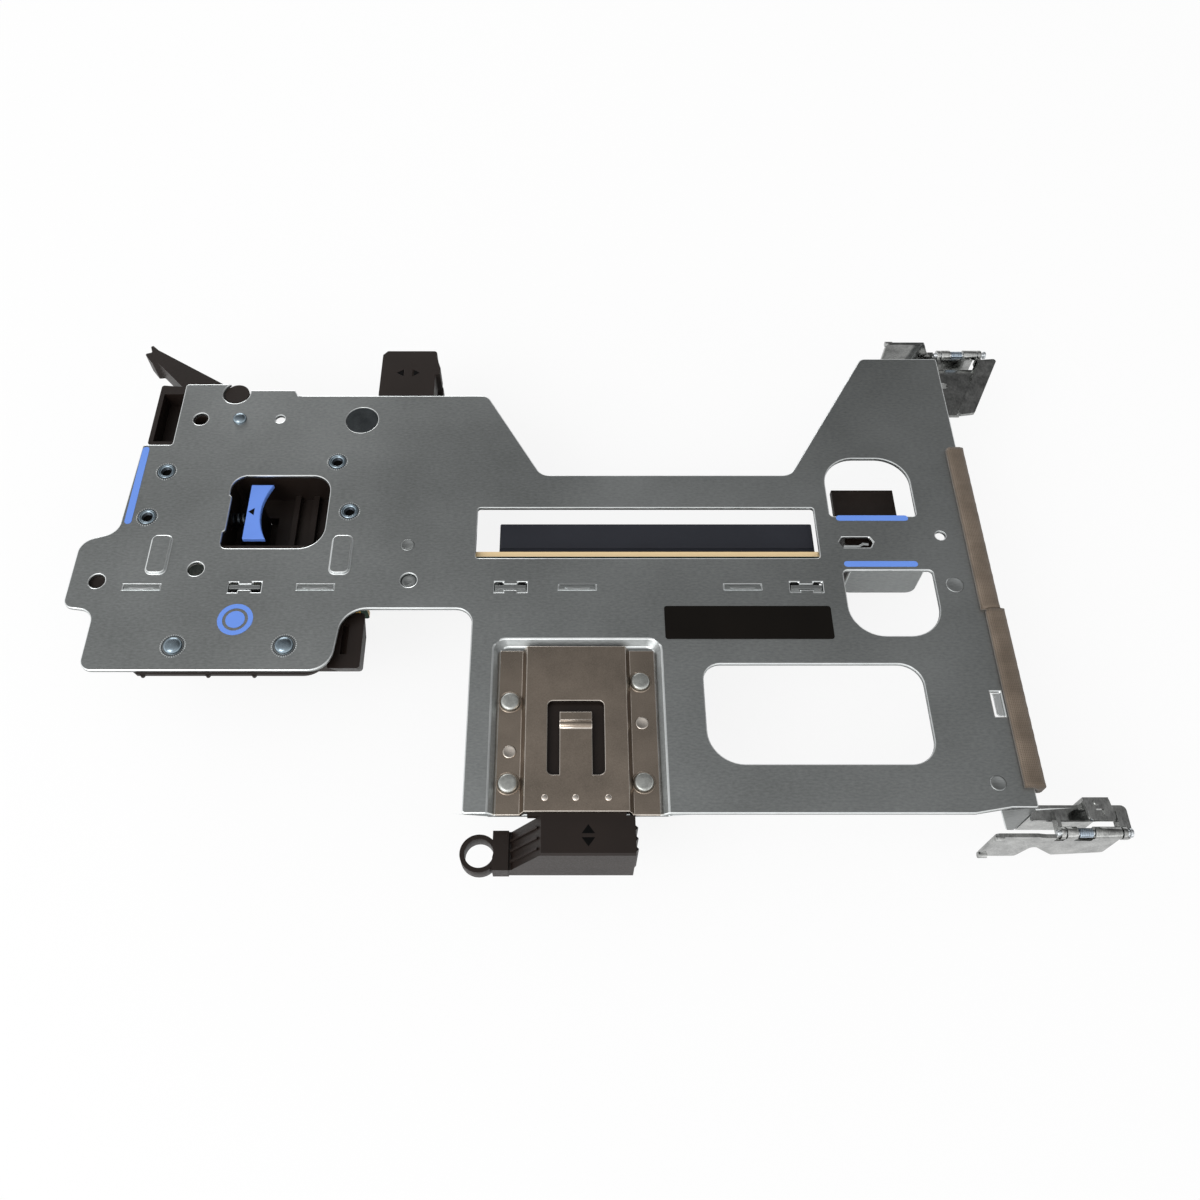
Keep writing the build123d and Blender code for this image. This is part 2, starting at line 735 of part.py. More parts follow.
# Front card holder: sliding block, ramp with ribs, low arm with a ring, and a grooved jaw
front_block_rear = guide_front - front_gap
front_block_front = front_block_rear - front_block_depth
holder_top = channel_roof - slide_fit
holder_foot = holder_top - front_block_height
arm_top = holder_foot + arm_height
runner_left = channel_left_x + 1.2 + slide_fit
runner_right = channel_right_x - 1.2 - slide_fit
jaw_groove = card_plane_gap / 2
with BuildPart() as front_holder:
    with BuildSketch(facing_front(front_block_rear)):
        with BuildLine():
            Polyline(
                (front_block_right_x, holder_top), (front_block_left_x, holder_top),
                (ramp_foot_x, arm_top), (arm_left_x, arm_top),
                (arm_left_x, holder_foot), (front_block_right_x, holder_foot), close=True,
            )
        make_face()
    extrude(amount=front_block_depth)
    chamfer(
        front_holder.edges().filter_by(Axis.X).group_by(Axis.Z)[-1].sort_by(Axis.Y)[0], 0.5
    )
    # Stop block and ring at the end of the arm
    box_between(
        (arm_left_x, front_block_front - 0.3, holder_foot),
        (arm_left_x + 4.0, front_block_rear, arm_top + 1.0),
    )
    ring_x = arm_left_x - ring_radius + 1.4
    ring_y = (front_block_rear + front_block_front) / 2 - 0.6
    with BuildSketch(level(holder_foot)):
        with Locations((ring_x, ring_y)):
            Circle(ring_radius)
    extrude(amount=arm_height)
    with BuildSketch(level(holder_foot - 1)):
        with Locations((ring_x, ring_y)):
            Circle(ring_bore)
    extrude(amount=arm_height + 4, mode=Mode.SUBTRACT)
    # Raised ribs down the ramp
    for step in range(3):
        rib_y = front_block_rear - 2.2 - step * 2.6
        with BuildSketch(facing_front(rib_y)):
            with BuildLine():
                Polyline(
                    (front_block_left_x - 1.0, holder_top - 1.6),
                    (front_block_left_x - 1.0, holder_top - 0.6),
                    (ramp_foot_x - 0.4, arm_top + 0.7), (ramp_foot_x + 0.6, arm_top), close=True,
                )
            make_face()
        extrude(amount=0.7)
    # Teeth on the right face
    for step in range(3):
        tooth_y = front_block_front + 1.8 + step * 2.6
        with BuildSketch(level(holder_foot + 2.0)):
            with BuildLine():
                Polyline(
                    (front_block_right_x, tooth_y - 0.7), (front_block_right_x + 0.7, tooth_y),
                    (front_block_right_x, tooth_y + 0.7), close=True,
                )
            make_face()
        extrude(amount=front_block_height - 3.0)
    # Arrows pressed into the top face
    arrow_x = (front_block_left_x + front_block_right_x) / 2
    arrow_y = (front_block_rear + front_block_front) / 2
    for side in (-1, 1):
        with BuildSketch(level(holder_top - 0.35)):
            with BuildLine():
                Polyline(
                    (arrow_x - 1.5, arrow_y + side * 0.5), (arrow_x, arrow_y + side * 2.6),
                    (arrow_x + 1.5, arrow_y + side * 0.5), close=True,
                )
            make_face()
        extrude(amount=1.0, mode=Mode.SUBTRACT)
    # Runner inside the channel, relieved under the spring tongue
    box_between(
        (runner_left, front_block_rear, guide_foot + slide_fit),
        (runner_right, tongue_tip_y + 3.0, holder_top),
    )
    box_between(
        (tongue_x - tongue_width / 2 - tongue_slot, tongue_root_y - 1.0, holder_top - 0.9),
        (tongue_x + tongue_width / 2 + tongue_slot, tongue_tip_y + 0.5, holder_top + 1),
        mode=Mode.SUBTRACT,
    )
    # Jaw that takes the edge of the front card
    jaw_top = pocket_floor_under - 0.8
    jaw_rear = front_block_rear + jaw_depth
    box_between(
        (front_block_left_x + 1.5, front_block_rear, slot_mid_z - jaw_half_height),
        (front_block_right_x, jaw_rear, jaw_top),
    )
    box_between(
        (front_block_left_x, jaw_rear - jaw_groove_depth, slot_mid_z - jaw_groove),
        (front_block_right_x + 1, jaw_rear + 1, slot_mid_z + jaw_groove),
        mode=Mode.SUBTRACT,
    )
save(front_holder, "front_holder")

# Rear card holder: block on a neck that runs in the slotted rail
rear_block_front = wing_rear_y + 0.3
rear_block_rear = rear_block_front + rear_block_depth
rear_block_x = (rear_block_left_x + rear_block_right_x) / 2
rear_block_top = sheet_top - 0.3
rear_block_foot = rear_block_top - rear_block_height
neck_z = rail_slot_z + rail_slot_height / 2
with BuildPart() as rear_holder:
    with BuildSketch(level(rear_block_foot)):
        rounded(
            [
                (rear_block_left_x, rear_block_front), (rear_block_right_x, rear_block_front),
                (rear_block_right_x, rear_block_rear), (rear_block_left_x + 1.4, rear_block_rear),
                (rear_block_left_x, rear_block_rear - 1.6),
            ],
            [0.5, 0.5, 1.0, 0.6, 0.6],
        )
    extrude(amount=rear_block_height)
    # Gripping arm at the right side with its groove
    with BuildSketch(level(rear_block_foot + 2.0)):
        with BuildLine():
            Polyline(
                (rear_block_right_x - 0.5, rear_block_rear - 1.0),
                (rear_block_right_x + 1.4, rear_block_rear - 7.0),
                (rear_block_right_x + 1.4, rear_block_rear - 9.2),
                (rear_block_right_x - 0.5, rear_block_rear - 9.8),
                close=True,
            )
        make_face()
    extrude(amount=rear_block_height - 2.0)
    box_between(
        (rear_block_right_x - 4.5, rear_block_front - 1, slot_mid_z - jaw_groove),
        (rear_block_right_x + 3, rear_block_rear + 1, slot_mid_z + jaw_groove),
        mode=Mode.SUBTRACT,
    )
    box_between(
        (rear_block_x - neck_width / 2, rail_front_y - 0.3, rail_slot_z + slide_fit),
        (rear_block_x + neck_width / 2, rear_block_front, rail_slot_z + rail_slot_height - slide_fit),
    )
    box_between(
        (rear_block_x - neck_width / 2 - 1.5, rail_front_y - 2.5, neck_z - 3.2),
        (rear_block_x + neck_width / 2 + 1.5, rail_front_y - 0.3, neck_z + 3.2),
    )
    for side in (-1, 1):
        with BuildSketch(level(rear_block_top - 0.3)):
            arrow_mid = rear_block_x + side * 2.4
            with BuildLine():
                Polyline(
                    (arrow_mid + side * 1.1, rear_block_front + 9.2),
                    (arrow_mid - side * 1.0, rear_block_front + 10.6),
                    (arrow_mid - side * 1.0, rear_block_front + 7.8),
                    close=True,
                )
            make_face()
        extrude(amount=1.0, mode=Mode.SUBTRACT)
save(rear_holder, "rear_holder")

# Housing of the release latch, open towards the window in the wing
well_floor = housing_foot_z + housing_floor
release_mid_y = (release_front_y + release_rear_y) / 2
leg_left = release_left_x + 0.6
leg_right = leg_left + release_leg_thickness
with BuildPart() as latch_housing:
    with BuildSketch(level(housing_foot_z)):
        rounded(
            [
                (housing_left_x, housing_front_y), (housing_right_x, housing_front_y),
                (housing_right_x, housing_rear_y), (housing_left_x, housing_rear_y),
            ],
            [2.0, 2.0, 4.0, 4.0],
        )
    extrude(amount=sheet_under - housing_foot_z)
    with BuildSketch(level(well_floor)):
        rounded(
            [
                (well_left_x, well_front_y), (well_right_x, well_front_y),
                (well_right_x, well_rear_y), (well_left_x, well_rear_y),
            ],
            [1.5, 1.5, 3.0, 1.5],
        )
    extrude(amount=sheet_under - well_floor + 1, mode=Mode.SUBTRACT)
    # Bore in the left wall for the return spring
    with BuildSketch(facing_rear(spring_seat_x)):
        with Locations((release_mid_y, well_floor + spring_drop)):
            Circle(return_coil_radius + return_wire + spring_room)
    extrude(amount=well_left_x - spring_seat_x + 1.0, mode=Mode.SUBTRACT)
    # Slot in the floor for the leg of the latch
    box_between(
        (leg_left - release_travel - 0.5, release_mid_y - release_leg_width / 2 - 0.4, housing_foot_z - 1),
        (leg_right + release_toe + 0.6, release_mid_y + release_leg_width / 2 + 0.4, well_floor + 1),
        mode=Mode.SUBTRACT,
    )
    # Cored underside between the screw bosses
    box_between((-25.5, 5.5, housing_foot_z - 1), (-16.0, 32.5, sheet_under - 2.5), mode=Mode.SUBTRACT)
    # Raised ribs on the floor of the well
    for x in (8.5, 14.0, 19.5):
        box_between((x - 0.8, well_front_y - 0.5, well_floor), (x + 0.8, well_rear_y + 0.5, well_floor + 2.2))
    with BuildSketch(level(housing_foot_z - 1)):
        with Locations(*nut_spots):
            Circle(screw_radius + 0.25)
    extrude(amount=sheet_under, mode=Mode.SUBTRACT)
    with BuildSketch(level(sheet_under - nut_depth + sheet_gauge - 0.2)):
        with Locations(*nut_spots):
            Circle(nut_flange + 0.2)
    extrude(amount=nut_depth, mode=Mode.SUBTRACT)
save(latch_housing, "latch_housing")

# Release latch: blue finger plate with a scooped edge on a hooked leg
release_top = sheet_top - release_drop
release_foot = release_top - release_gauge
with BuildPart() as release_latch:
    with BuildSketch(level(release_foot)):
        with BuildLine():
            Line((release_right_x, release_front_y), (release_left_x, release_front_y))
            Line((release_left_x, release_front_y), (release_left_x, release_rear_y))
            Line((release_left_x, release_rear_y), (release_right_x, release_rear_y))
            ThreePointArc(
                (release_right_x, release_rear_y),
                (release_right_x - release_scoop, release_mid_y),
                (release_right_x, release_front_y),
            )
        make_face()
    extrude(amount=release_gauge)
    box_between(
        (leg_left, release_mid_y - release_leg_width / 2, release_toe_z),
        (leg_right, release_mid_y + release_leg_width / 2, release_foot + release_gauge / 2),
    )
    with BuildSketch(facing_front(release_mid_y + release_leg_width / 2)):
        with BuildLine():
            Polyline(
                (leg_right, release_toe_z), (leg_right, release_toe_z + 5.0),
                (leg_right + release_toe, release_toe_z + 4.2),
                (leg_right + release_toe * 0.6, release_toe_z),
                close=True,
            )
        make_face()
    extrude(amount=release_leg_width)
save(release_latch, "release_latch")


def sleeve(name, left, right, y, z, radius, wire):
    """Room that a wound spring takes, between these two ends along X."""
    with BuildPart() as spring:
        with BuildSketch(facing_rear(left)):
            with Locations((y, z)):
                Circle(radius + wire)
                Circle(radius - wire, mode=Mode.SUBTRACT)
        extrude(amount=right - left)
    save(spring, name)


# Return spring between its seat in the housing and the leg of the release latch
sleeve(
    "return_spring", spring_seat_x, leg_left,
    release_mid_y, well_floor + spring_drop, return_coil_radius, return_wire,
)

# Moulding under the front of the wing: a lip along the edge, a hollow body and a bulge beside it
mould_foot = sheet_under - mould_drop
bulge_top = sheet_under - bulge_drop
with BuildPart() as wing_mould:
    with BuildSketch(level(sheet_under - lip_gauge)):
        rounded(
            [
                (mould_left_x, mould_rear_y), (mould_right_x, mould_rear_y), (mould_right_x, mould_front_y),
                (mould_lip_left_x, mould_front_y), (mould_lip_left_x - 2.5, wing_front_y + 1.5),
                (mould_left_x, wing_front_y + 1.5),
            ],
            [1.0, 1.0, 6.3, 0.6, 0.6, 2.5],
        )
        for x in lip_bump_spots:
            with Locations((x, mould_front_y)):
                Circle(0.6)
    extrude(amount=lip_gauge)
    # Flat tongue under the ear of the wing
    box_between(
        (wing_x + 2.5, mould_rear_y - 3.6, sheet_under - mould_wall),
        (mould_left_x + 1.5, mould_rear_y + 10.4, sheet_under),
    )
    with BuildSketch(level(mould_foot)):
        rounded(
            [
                (mould_left_x, mould_rear_y), (mould_right_x, mould_rear_y),
                (mould_right_x, mould_body_front_y), (mould_left_x, mould_body_front_y),
            ],
            [1.5, 1.0, 1.0, 2.5],
        )
    extrude(amount=mould_drop)
    # Bulge that stands out beside the wing
    with BuildSketch(level(mould_foot)):
        rounded(
            [
                (mould_right_x - 1.0, mould_rear_y - 4.4), (bulge_right_x - 1.6, mould_rear_y - 4.4),
                (bulge_right_x - 1.6, mould_body_front_y), (mould_right_x - 1.0, mould_body_front_y),
            ],
            [0.6, 1.0, 1.0, 0.6],
        )
    with BuildSketch(level(bulge_top)):
        rounded(
            [
                (mould_right_x - 1.0, mould_rear_y - 4.4), (bulge_right_x, mould_rear_y - 4.4),
                (bulge_right_x, bulge_front_y), (mould_right_x - 1.0, bulge_front_y),
            ],
            [0.6, 1.0, 1.0, 0.6],
        )
    loft()
    # Hollow underside
    box_between(
        (mould_left_x + mould_wall, mould_body_front_y + mould_wall, mould_foot - 1),
        (mould_right_x - mould_wall, mould_rear_y - mould_wall, sheet_under - mould_wall),
        mode=Mode.SUBTRACT,
    )
    box_between(
        (mould_right_x, mould_body_front_y + mould_wall, mould_foot - 1),
        (bulge_right_x - 1.6 - mould_wall, mould_rear_y - 4.4 - mould_wall, bulge_top - mould_wall),
        mode=Mode.SUBTRACT,
    )
    # Slanted panel let into the top of the bulge
    with BuildSketch(facing_front(mould_rear_y - 8.0)):
        with BuildLine():
            Polyline(
                (mould_right_x + 2.0, bulge_top + 1), (mould_right_x + 2.0, bulge_top - 1.2),
                (mould_right_x + 5.2, bulge_top + 1), close=True,
            )
        make_face()
    extrude(amount=9.0, mode=Mode.SUBTRACT)
    # Posts around the studs
    with BuildSketch(level(mould_foot + 6.0)):
        with Locations(*mould_stud_spots):
            Circle(3.2)
    extrude(amount=mould_drop - 6.0)
    with BuildSketch(level(mould_foot)):
        with Locations(*mould_stud_spots):
            Circle(rivet_shank_radius + rivet_fit)
    extrude(amount=mould_drop + 1, mode=Mode.SUBTRACT)
    # Ribs across the hollow
    for x in (-24.0, 0.0):
        box_between(
            (x - 0.8, mould_body_front_y + 0.5, mould_foot + 2.0),
            (x + 0.8, mould_rear_y - 0.5, sheet_under - mould_wall + 0.5),
        )
save(wing_mould, "wing_mould")

# Cable arm: trough beside the wing and a forked blade that ends in a post
arm_top_z = sheet_top - arm_drop
arm_foot_z = arm_top_z - arm_depth
with BuildPart() as cable_arm:
    with BuildSketch(level(arm_foot_z)):
        rounded(
            [
                (trough_left_x, trough_front_y), (tab_x + 8.0, trough_front_y),
                (tab_x + 8.0, 61.0), (trough_left_x, 62.6),
            ],
            [1.2, 0.8, 0.6, 0.8],
        )
    extrude(amount=arm_depth)
    box_between(
        (trough_left_x + trough_wall, trough_front_y + trough_wall, arm_foot_z + trough_wall),
        (tab_x + 0.6, 59.0, arm_top_z + 1),
        mode=Mode.SUBTRACT,
    )
    with BuildSketch(level(arm_foot_z)):
        rounded(
            [
                (post_x - 1.5, post_y + 3.4), (-40.6, 77.2), (-43.8, 80.2), (-42.4, 76.2),
                (-44.6, 75.6), (-41.4, 71.6), (-39.6, 71.8), (-29.0, 60.6), (post_x - 2.5, post_y - 2.6),
            ],
            [0.6, 0.8, 0.5, 0.4, 0.5, 0.5, 0.6, 2.0, 0.6],
        )
    extrude(amount=arm_depth)
    with BuildSketch(level(arm_foot_z)):
        with Locations((post_x, post_y)):
            Circle(post_radius)
    extrude(amount=arm_depth + arm_drop - 0.6)
    # Seat under the sheet, held by the stud
    box_between((tab_x + 1.0, 41.5, arm_foot_z), (-5.4, 54.0, sheet_under))
    with BuildSketch(level(arm_foot_z - 1)):
        with Locations(loose_hole_spots[0]):
            Circle(loose_hole_radius - 0.2)
        with Locations(arm_stud_spot):
            Circle(rivet_shank_radius + rivet_fit)
    extrude(amount=arm_depth + 6, mode=Mode.SUBTRACT)
save(cable_arm, "cable_arm")

# Clinch nuts of the wing with the screws of the latch housing
with BuildPart() as clinch_nuts:
    with BuildSketch(level(sheet_under)):
        with Locations(*nut_spots):
            Circle(nut_radius)
    extrude(amount=sheet_gauge)
    with BuildSketch(level(sheet_top - nut_depth)):
        with Locations(*nut_spots):
            Circle(nut_flange)
    extrude(amount=nut_depth - sheet_gauge)
    with BuildSketch(level(sheet_top - nut_depth)):
        with Locations(*nut_spots):
            Circle(nut_bore)
    extrude(amount=nut_depth, mode=Mode.SUBTRACT)
save(clinch_nuts, "clinch_nuts")

with BuildPart() as housing_screws:
    with BuildSketch(level(housing_foot_z - screw_head_height)):
        with Locations(*nut_spots):
            Circle(screw_head)
    extrude(amount=screw_head_height)
    with BuildSketch(level(housing_foot_z)):
        with Locations(*nut_spots):
            Circle(nut_bore - 0.05)
    extrude(amount=sheet_under - housing_foot_z - screw_end_drop)
save(housing_screws, "housing_screws")


def dome_stud(spots, foot, cap_radius):
    """Domed heads on the sheet with shanks that reach down to the foot."""
    with BuildSketch(level(sheet_top)) as cap:
        with Locations(*spots):
            Circle(cap_radius)
    extrude(cap.sketch, amount=0.9, taper=28)
    with BuildSketch(level(foot)) as shank:
        with Locations(*spots):
            Circle(rivet_shank_radius)
    extrude(shank.sketch, amount=sheet_top - foot)


with BuildPart() as wing_studs:
    dome_stud(mould_stud_spots, mould_foot + 3.0, stud_radius)
    dome_stud([arm_stud_spot], arm_foot_z, 1.9)
save(wing_studs, "wing_studs")

# Standoff whose flush head is pressed into the wing
with BuildPart() as flush_standoff:
    with BuildSketch(level(sheet_under)):
        with Locations(flush_head_spot):
            Circle(flush_head_radius)
    extrude(amount=sheet_gauge)
    with BuildSketch(level(sheet_under - standoff_length)):
        with Locations(flush_head_spot):
            Circle(3.2)
            Circle(screw_radius, mode=Mode.SUBTRACT)
    extrude(amount=standoff_length)
save(flush_standoff, "flush_standoff")


def gasket(name, left, start_y, stop_y):
    """Strip of fabric over foam, wrapped from the sheet over the rear edge."""
    right = left + gasket_width
    top = sheet_top + gasket_height
    with BuildPart() as strip:
        with BuildSketch(facing_front(stop_y)):
            rounded(
                [
                    (left, sheet_top - gasket_lip), (left, top),
                    (right, top), (right, sheet_top - gasket_lip),
                ],
                [0.3, 0.9, 1.2, 0.9],
            )
            with Locations((rear_x - gasket_width, sheet_top - gasket_lip)):
                Rectangle(2 * gasket_width, 2 * gasket_lip, mode=Mode.SUBTRACT)
        extrude(amount=stop_y - start_y)
    save(strip, name)


gasket("front_gasket", front_gasket_left_x, gasket_front_y, gasket_seam_y)
gasket("rear_gasket", rear_gasket_left_x, gasket_seam_y + gasket_seam, gasket_rear_y)


def latch_set(name, side, hinge_y, blade_left, blade_right, blade_top, ear_left, ear_right):
    """Sprung lever on a pin; it swings outward from the card bracket. Side is -1 in front, 1 behind."""
    plate_near = hinge_y + side * plate_offset
    plate_far = hinge_y + side * (plate_offset + latch_gauge)
    clamp_left = ear_left + latch_gauge + knuckle_gap
    clamp_right = ear_right - knuckle_gap
    coil_start = clamp_left + first_knuckle
    coil_stop = coil_start + latch_coil_length
    pin_left = ear_left - pin_reach
    pin_right = ear_right + latch_gauge + pin_reach
    with BuildPart() as lever:
        # Finger blade and clamp plate, hanging from the hinge
        with BuildSketch(facing_front(max(plate_near, plate_far))):
            rounded(
                [
                    (blade_left, blade_top), (blade_right, blade_top), (blade_right + 2.0, latch_z),
                    (clamp_right, latch_z), (clamp_right, clamp_foot_z),
                    (clamp_left + 1.0, latch_foot_z + 1.0), (blade_right + 1.0, latch_foot_z + 8.0),
                    (blade_right - 1.0, latch_foot_z), (blade_left, latch_foot_z),
                ],
                [1.0, 0.6, 0.6, 0.3, 1.0, 1.0, 1.0, 1.0, 1.0],
            )
        extrude(amount=latch_gauge)
        # Curled ends of the blade
        for z in (blade_top - 0.8, latch_foot_z + 0.8):
            with BuildSketch(facing_rear(blade_left - 0.3)):
                with Locations((plate_far, z)):
                    Circle(0.8)
            extrude(amount=2.2)
        # Foot that presses on the card bracket
        foot_y = hinge_y - side * (barrel_radius + 0.6)
        box_between(
            (clamp_left + 1.0, min(foot_y, plate_near), clamp_foot_z),
            (clamp_right, max(foot_y, plate_near), clamp_foot_z + latch_gauge),
        )
        for left, right in ((clamp_left, coil_start), (coil_stop, clamp_right)):
            with BuildSketch(facing_rear(left)):
                with Locations((hinge_y, latch_z)):
                    Circle(barrel_radius)
            extrude(amount=right - left)
        with BuildSketch(facing_rear(clamp_left)):
            with Locations((hinge_y, latch_z)):
                Circle(pin_radius + pin_fit)
        extrude(amount=clamp_right - clamp_left, mode=Mode.SUBTRACT)
        # Room for the spring and for the ears of the bracket
        for left, right in ((coil_start, coil_stop), (pin_left, clamp_left)):
            with BuildSketch(facing_rear(left)):
                with Locations((hinge_y, latch_z)):
                    Circle(barrel_radius + 1.0)
            extrude(amount=right - left, mode=Mode.SUBTRACT)
    save(lever, name + "_latch")
    with BuildPart() as pin:
        with BuildSketch(facing_rear(pin_left)):
            with Locations((hinge_y, latch_z)):
                Circle(pin_radius)
        extrude(amount=pin_right - pin_left)
        with BuildSketch(facing_rear(pin_right)):
            with Locations((hinge_y, latch_z)):
                Circle(pin_radius + 0.4)
        extrude(amount=0.8)
    save(pin, name + "_latch_pin")
    end_room = 0.3
    sleeve(
        name + "_latch_spring", coil_start + end_room, coil_stop - end_room,
        hinge_y, latch_z, spring_radius, spring_wire,
    )


latch_set(
    "front", -1, front_latch_y, front_blade_left_x, front_blade_right_x, front_blade_top_z,
    front_ear_left_x, front_ear_right_x,
)
latch_set(
    "rear", 1, rear_latch_y, rear_blade_left_x, rear_blade_right_x, rear_blade_top_z,
    rear_ear_left_x, rear_ear_right_x,
)


def ear(x, hinge_y, reach_y, foot_z):
    """Ear of a bracket with the hole for the pin."""
    low_y, high_y = sorted((hinge_y, reach_y))
    with BuildSketch(facing_rear(x)) as profile:
        with Locations((hinge_y, latch_z)):
            Circle(barrel_radius)
        with Locations(((low_y + high_y) / 2, (foot_z + latch_z) / 2)):
            Rectangle(high_y - low_y, latch_z - foot_z)
        with Locations((hinge_y, latch_z)):
            Circle(pin_radius + pin_fit, mode=Mode.SUBTRACT)
    extrude(profile.sketch, amount=latch_gauge)


# Front latch bracket: plate behind the hinge, keeper tab over it and a leg on the rear wall
front_step_y = front_plate_rear_y - 3.9
front_web_y = front_plate_rear_y - 1.7
with BuildPart() as front_latch_bracket:
    with BuildSketch(level(front_plate_z)):
        rounded(
            [
                (rear_x, front_plate_rear_y), (front_plate_right_x, front_plate_rear_y),
                (front_plate_right_x, front_plate_front_y),
                (front_plate_right_x - front_prong_width, front_plate_front_y),
                (front_plate_right_x - front_prong_width, front_step_y), (rear_x, front_step_y),
            ],
            [0.3, 1.4, 1.4, 0.5, 0.5, 0.3],
        )
    extrude(amount=latch_gauge)
    # Rivet head on the prong
    with BuildSketch(level(front_plate_z + latch_gauge)):
        with Locations((front_plate_right_x - front_prong_width / 2, front_step_y - 1.2)):
            Circle(1.2)
    extrude(amount=0.5)
    box_between(
        (rear_x, front_web_y - 0.6, wall_foot),
        (rear_x + latch_gauge, front_web_y - 0.6 + bracket_leg, front_plate_z + latch_gauge),
    )
    box_between(
        (rear_x, front_web_y - latch_gauge, wall_foot),
        (keeper_right_x, front_web_y, front_plate_z + latch_gauge),
    )
    ear(front_ear_left_x, front_latch_y, front_web_y, front_plate_z)
    ear(front_ear_right_x, front_latch_y, front_web_y, front_plate_z)
    box_between(
        (keeper_left_x, front_plate_rear_y - latch_gauge, front_plate_z),
        (keeper_right_x, front_plate_rear_y, sheet_top),
    )
    keeper_mid_x = (keeper_left_x + keeper_right_x) / 2
    with BuildSketch(level(sheet_top - latch_gauge)):
        rounded(
            [
                (keeper_left_x, front_plate_rear_y), (keeper_right_x, front_plate_rear_y),
                (keeper_right_x + keeper_skew, keeper_front_y), (keeper_left_x + keeper_skew, keeper_front_y),
            ],
            [0.8, 0.8, 0.8, 0.8],
        )
        with Locations((keeper_mid_x + keeper_skew / 2, keeper_front_y + 1.9)):
            Rectangle(1.8, 1.8, mode=Mode.SUBTRACT)
    extrude(amount=latch_gauge)
    with BuildSketch(level(sheet_top)):
        with Locations((keeper_mid_x, front_plate_rear_y - 1.2)):
            Circle(0.8)
    extrude(amount=0.4)
save(front_latch_bracket, "front_latch_bracket")

# Rear latch bracket: floor behind the hinge, a skewed bar on its fence and a leg on the rear wall
rear_web_y = rear_channel_rear_y - 2.0


def bar_x(y):
    """Left edge of the skewed bar at this distance."""
    return rear_bar_left_x + (y - rear_bar_front_y) * rear_bar_skew


fence_front_x = bar_x(rear_channel_front_y)
fence_rear_x = bar_x(rear_channel_rear_y)
with BuildPart() as rear_latch_bracket:
    with BuildSketch(level(rear_floor_z)):
        rounded(
            [
                (rear_x, rear_channel_front_y), (fence_front_x + latch_gauge, rear_channel_front_y),
                (fence_rear_x + latch_gauge, rear_channel_rear_y), (rear_x, rear_channel_rear_y),
            ],
            [0.3, 0.2, 0.2, 0.3],
        )
        with Locations((rear_x + 3.7, rear_web_y - 4.6), (rear_x + 2.0, rear_web_y - 11.7)):
            Circle(1.2, mode=Mode.SUBTRACT)
    extrude(amount=latch_gauge)
    box_between(
        (rear_x, rear_y - 4.7, wall_foot),
        (rear_x + latch_gauge, rear_web_y, rear_floor_z + latch_gauge),
    )
    box_between(
        (rear_x, rear_web_y, wall_foot),
        (fence_rear_x, rear_web_y + latch_gauge, rear_floor_z + latch_gauge),
    )
    with BuildSketch(level(rear_floor_z)):
        with BuildLine():
            Polyline(
                (fence_front_x, rear_channel_front_y), (fence_front_x + latch_gauge, rear_channel_front_y),
                (fence_rear_x + latch_gauge, rear_channel_rear_y), (fence_rear_x, rear_channel_rear_y),
                close=True,
            )
        make_face()
    extrude(amount=rear_rim_z - rear_floor_z)
    with BuildSketch(level(rear_rim_z - latch_gauge)):
        rounded(
            [
                (rear_bar_left_x, rear_bar_front_y), (rear_bar_left_x + rear_bar_width, rear_bar_front_y + 0.8),
                (fence_rear_x + rear_bar_width, rear_channel_rear_y + 0.4), (fence_rear_x, rear_channel_rear_y),
            ],
            [0.8, 0.8, 0.8, 0.2],
        )
    extrude(amount=latch_gauge)
    ear(rear_ear_left_x, rear_latch_y, rear_channel_rear_y - 0.6, rear_floor_z)
    ear(rear_ear_right_x, rear_latch_y, rear_channel_rear_y - 0.6, rear_floor_z)
    box_between(
        (fence_rear_x - 1.0, rear_channel_rear_y - latch_gauge, rear_floor_z),
        (max(rear_ear_right_x, fence_rear_x) + latch_gauge, rear_channel_rear_y, rear_rim_z),
    )
save(rear_latch_bracket, "rear_latch_bracket")

# Black grip moulding between the flanges of the finger bar, with a lip for the finger behind it
grip_left = finger_x - bar_flange_width / 2
grip_right = finger_x + bar_flange_width / 2
grip_foot = sheet_under - bar_flange_drop
grip_clearance = 0.1
with BuildPart() as grip_mould:
    box_between(
        (grip_left + 2.0, bar_front_y + sheet_gauge + grip_clearance, grip_foot),
        (grip_right - 0.5, bar_rear_y - sheet_gauge - grip_clearance, sheet_under - 2.0),
    )
    fillet(grip_mould.edges().filter_by(Axis.Z), 1.0)
    box_between(
        (grip_left + 3.0, bar_rear_y - sheet_gauge - 3.0, grip_foot - grip_lip_gauge),
        (grip_right + 1.0, bar_rear_y + grip_lip_reach, grip_foot),
    )
save(grip_mould, "grip_mould")
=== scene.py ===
from math import cos, pi, radians, sin

import bmesh
import bpy
from mathutils import Matrix, Vector


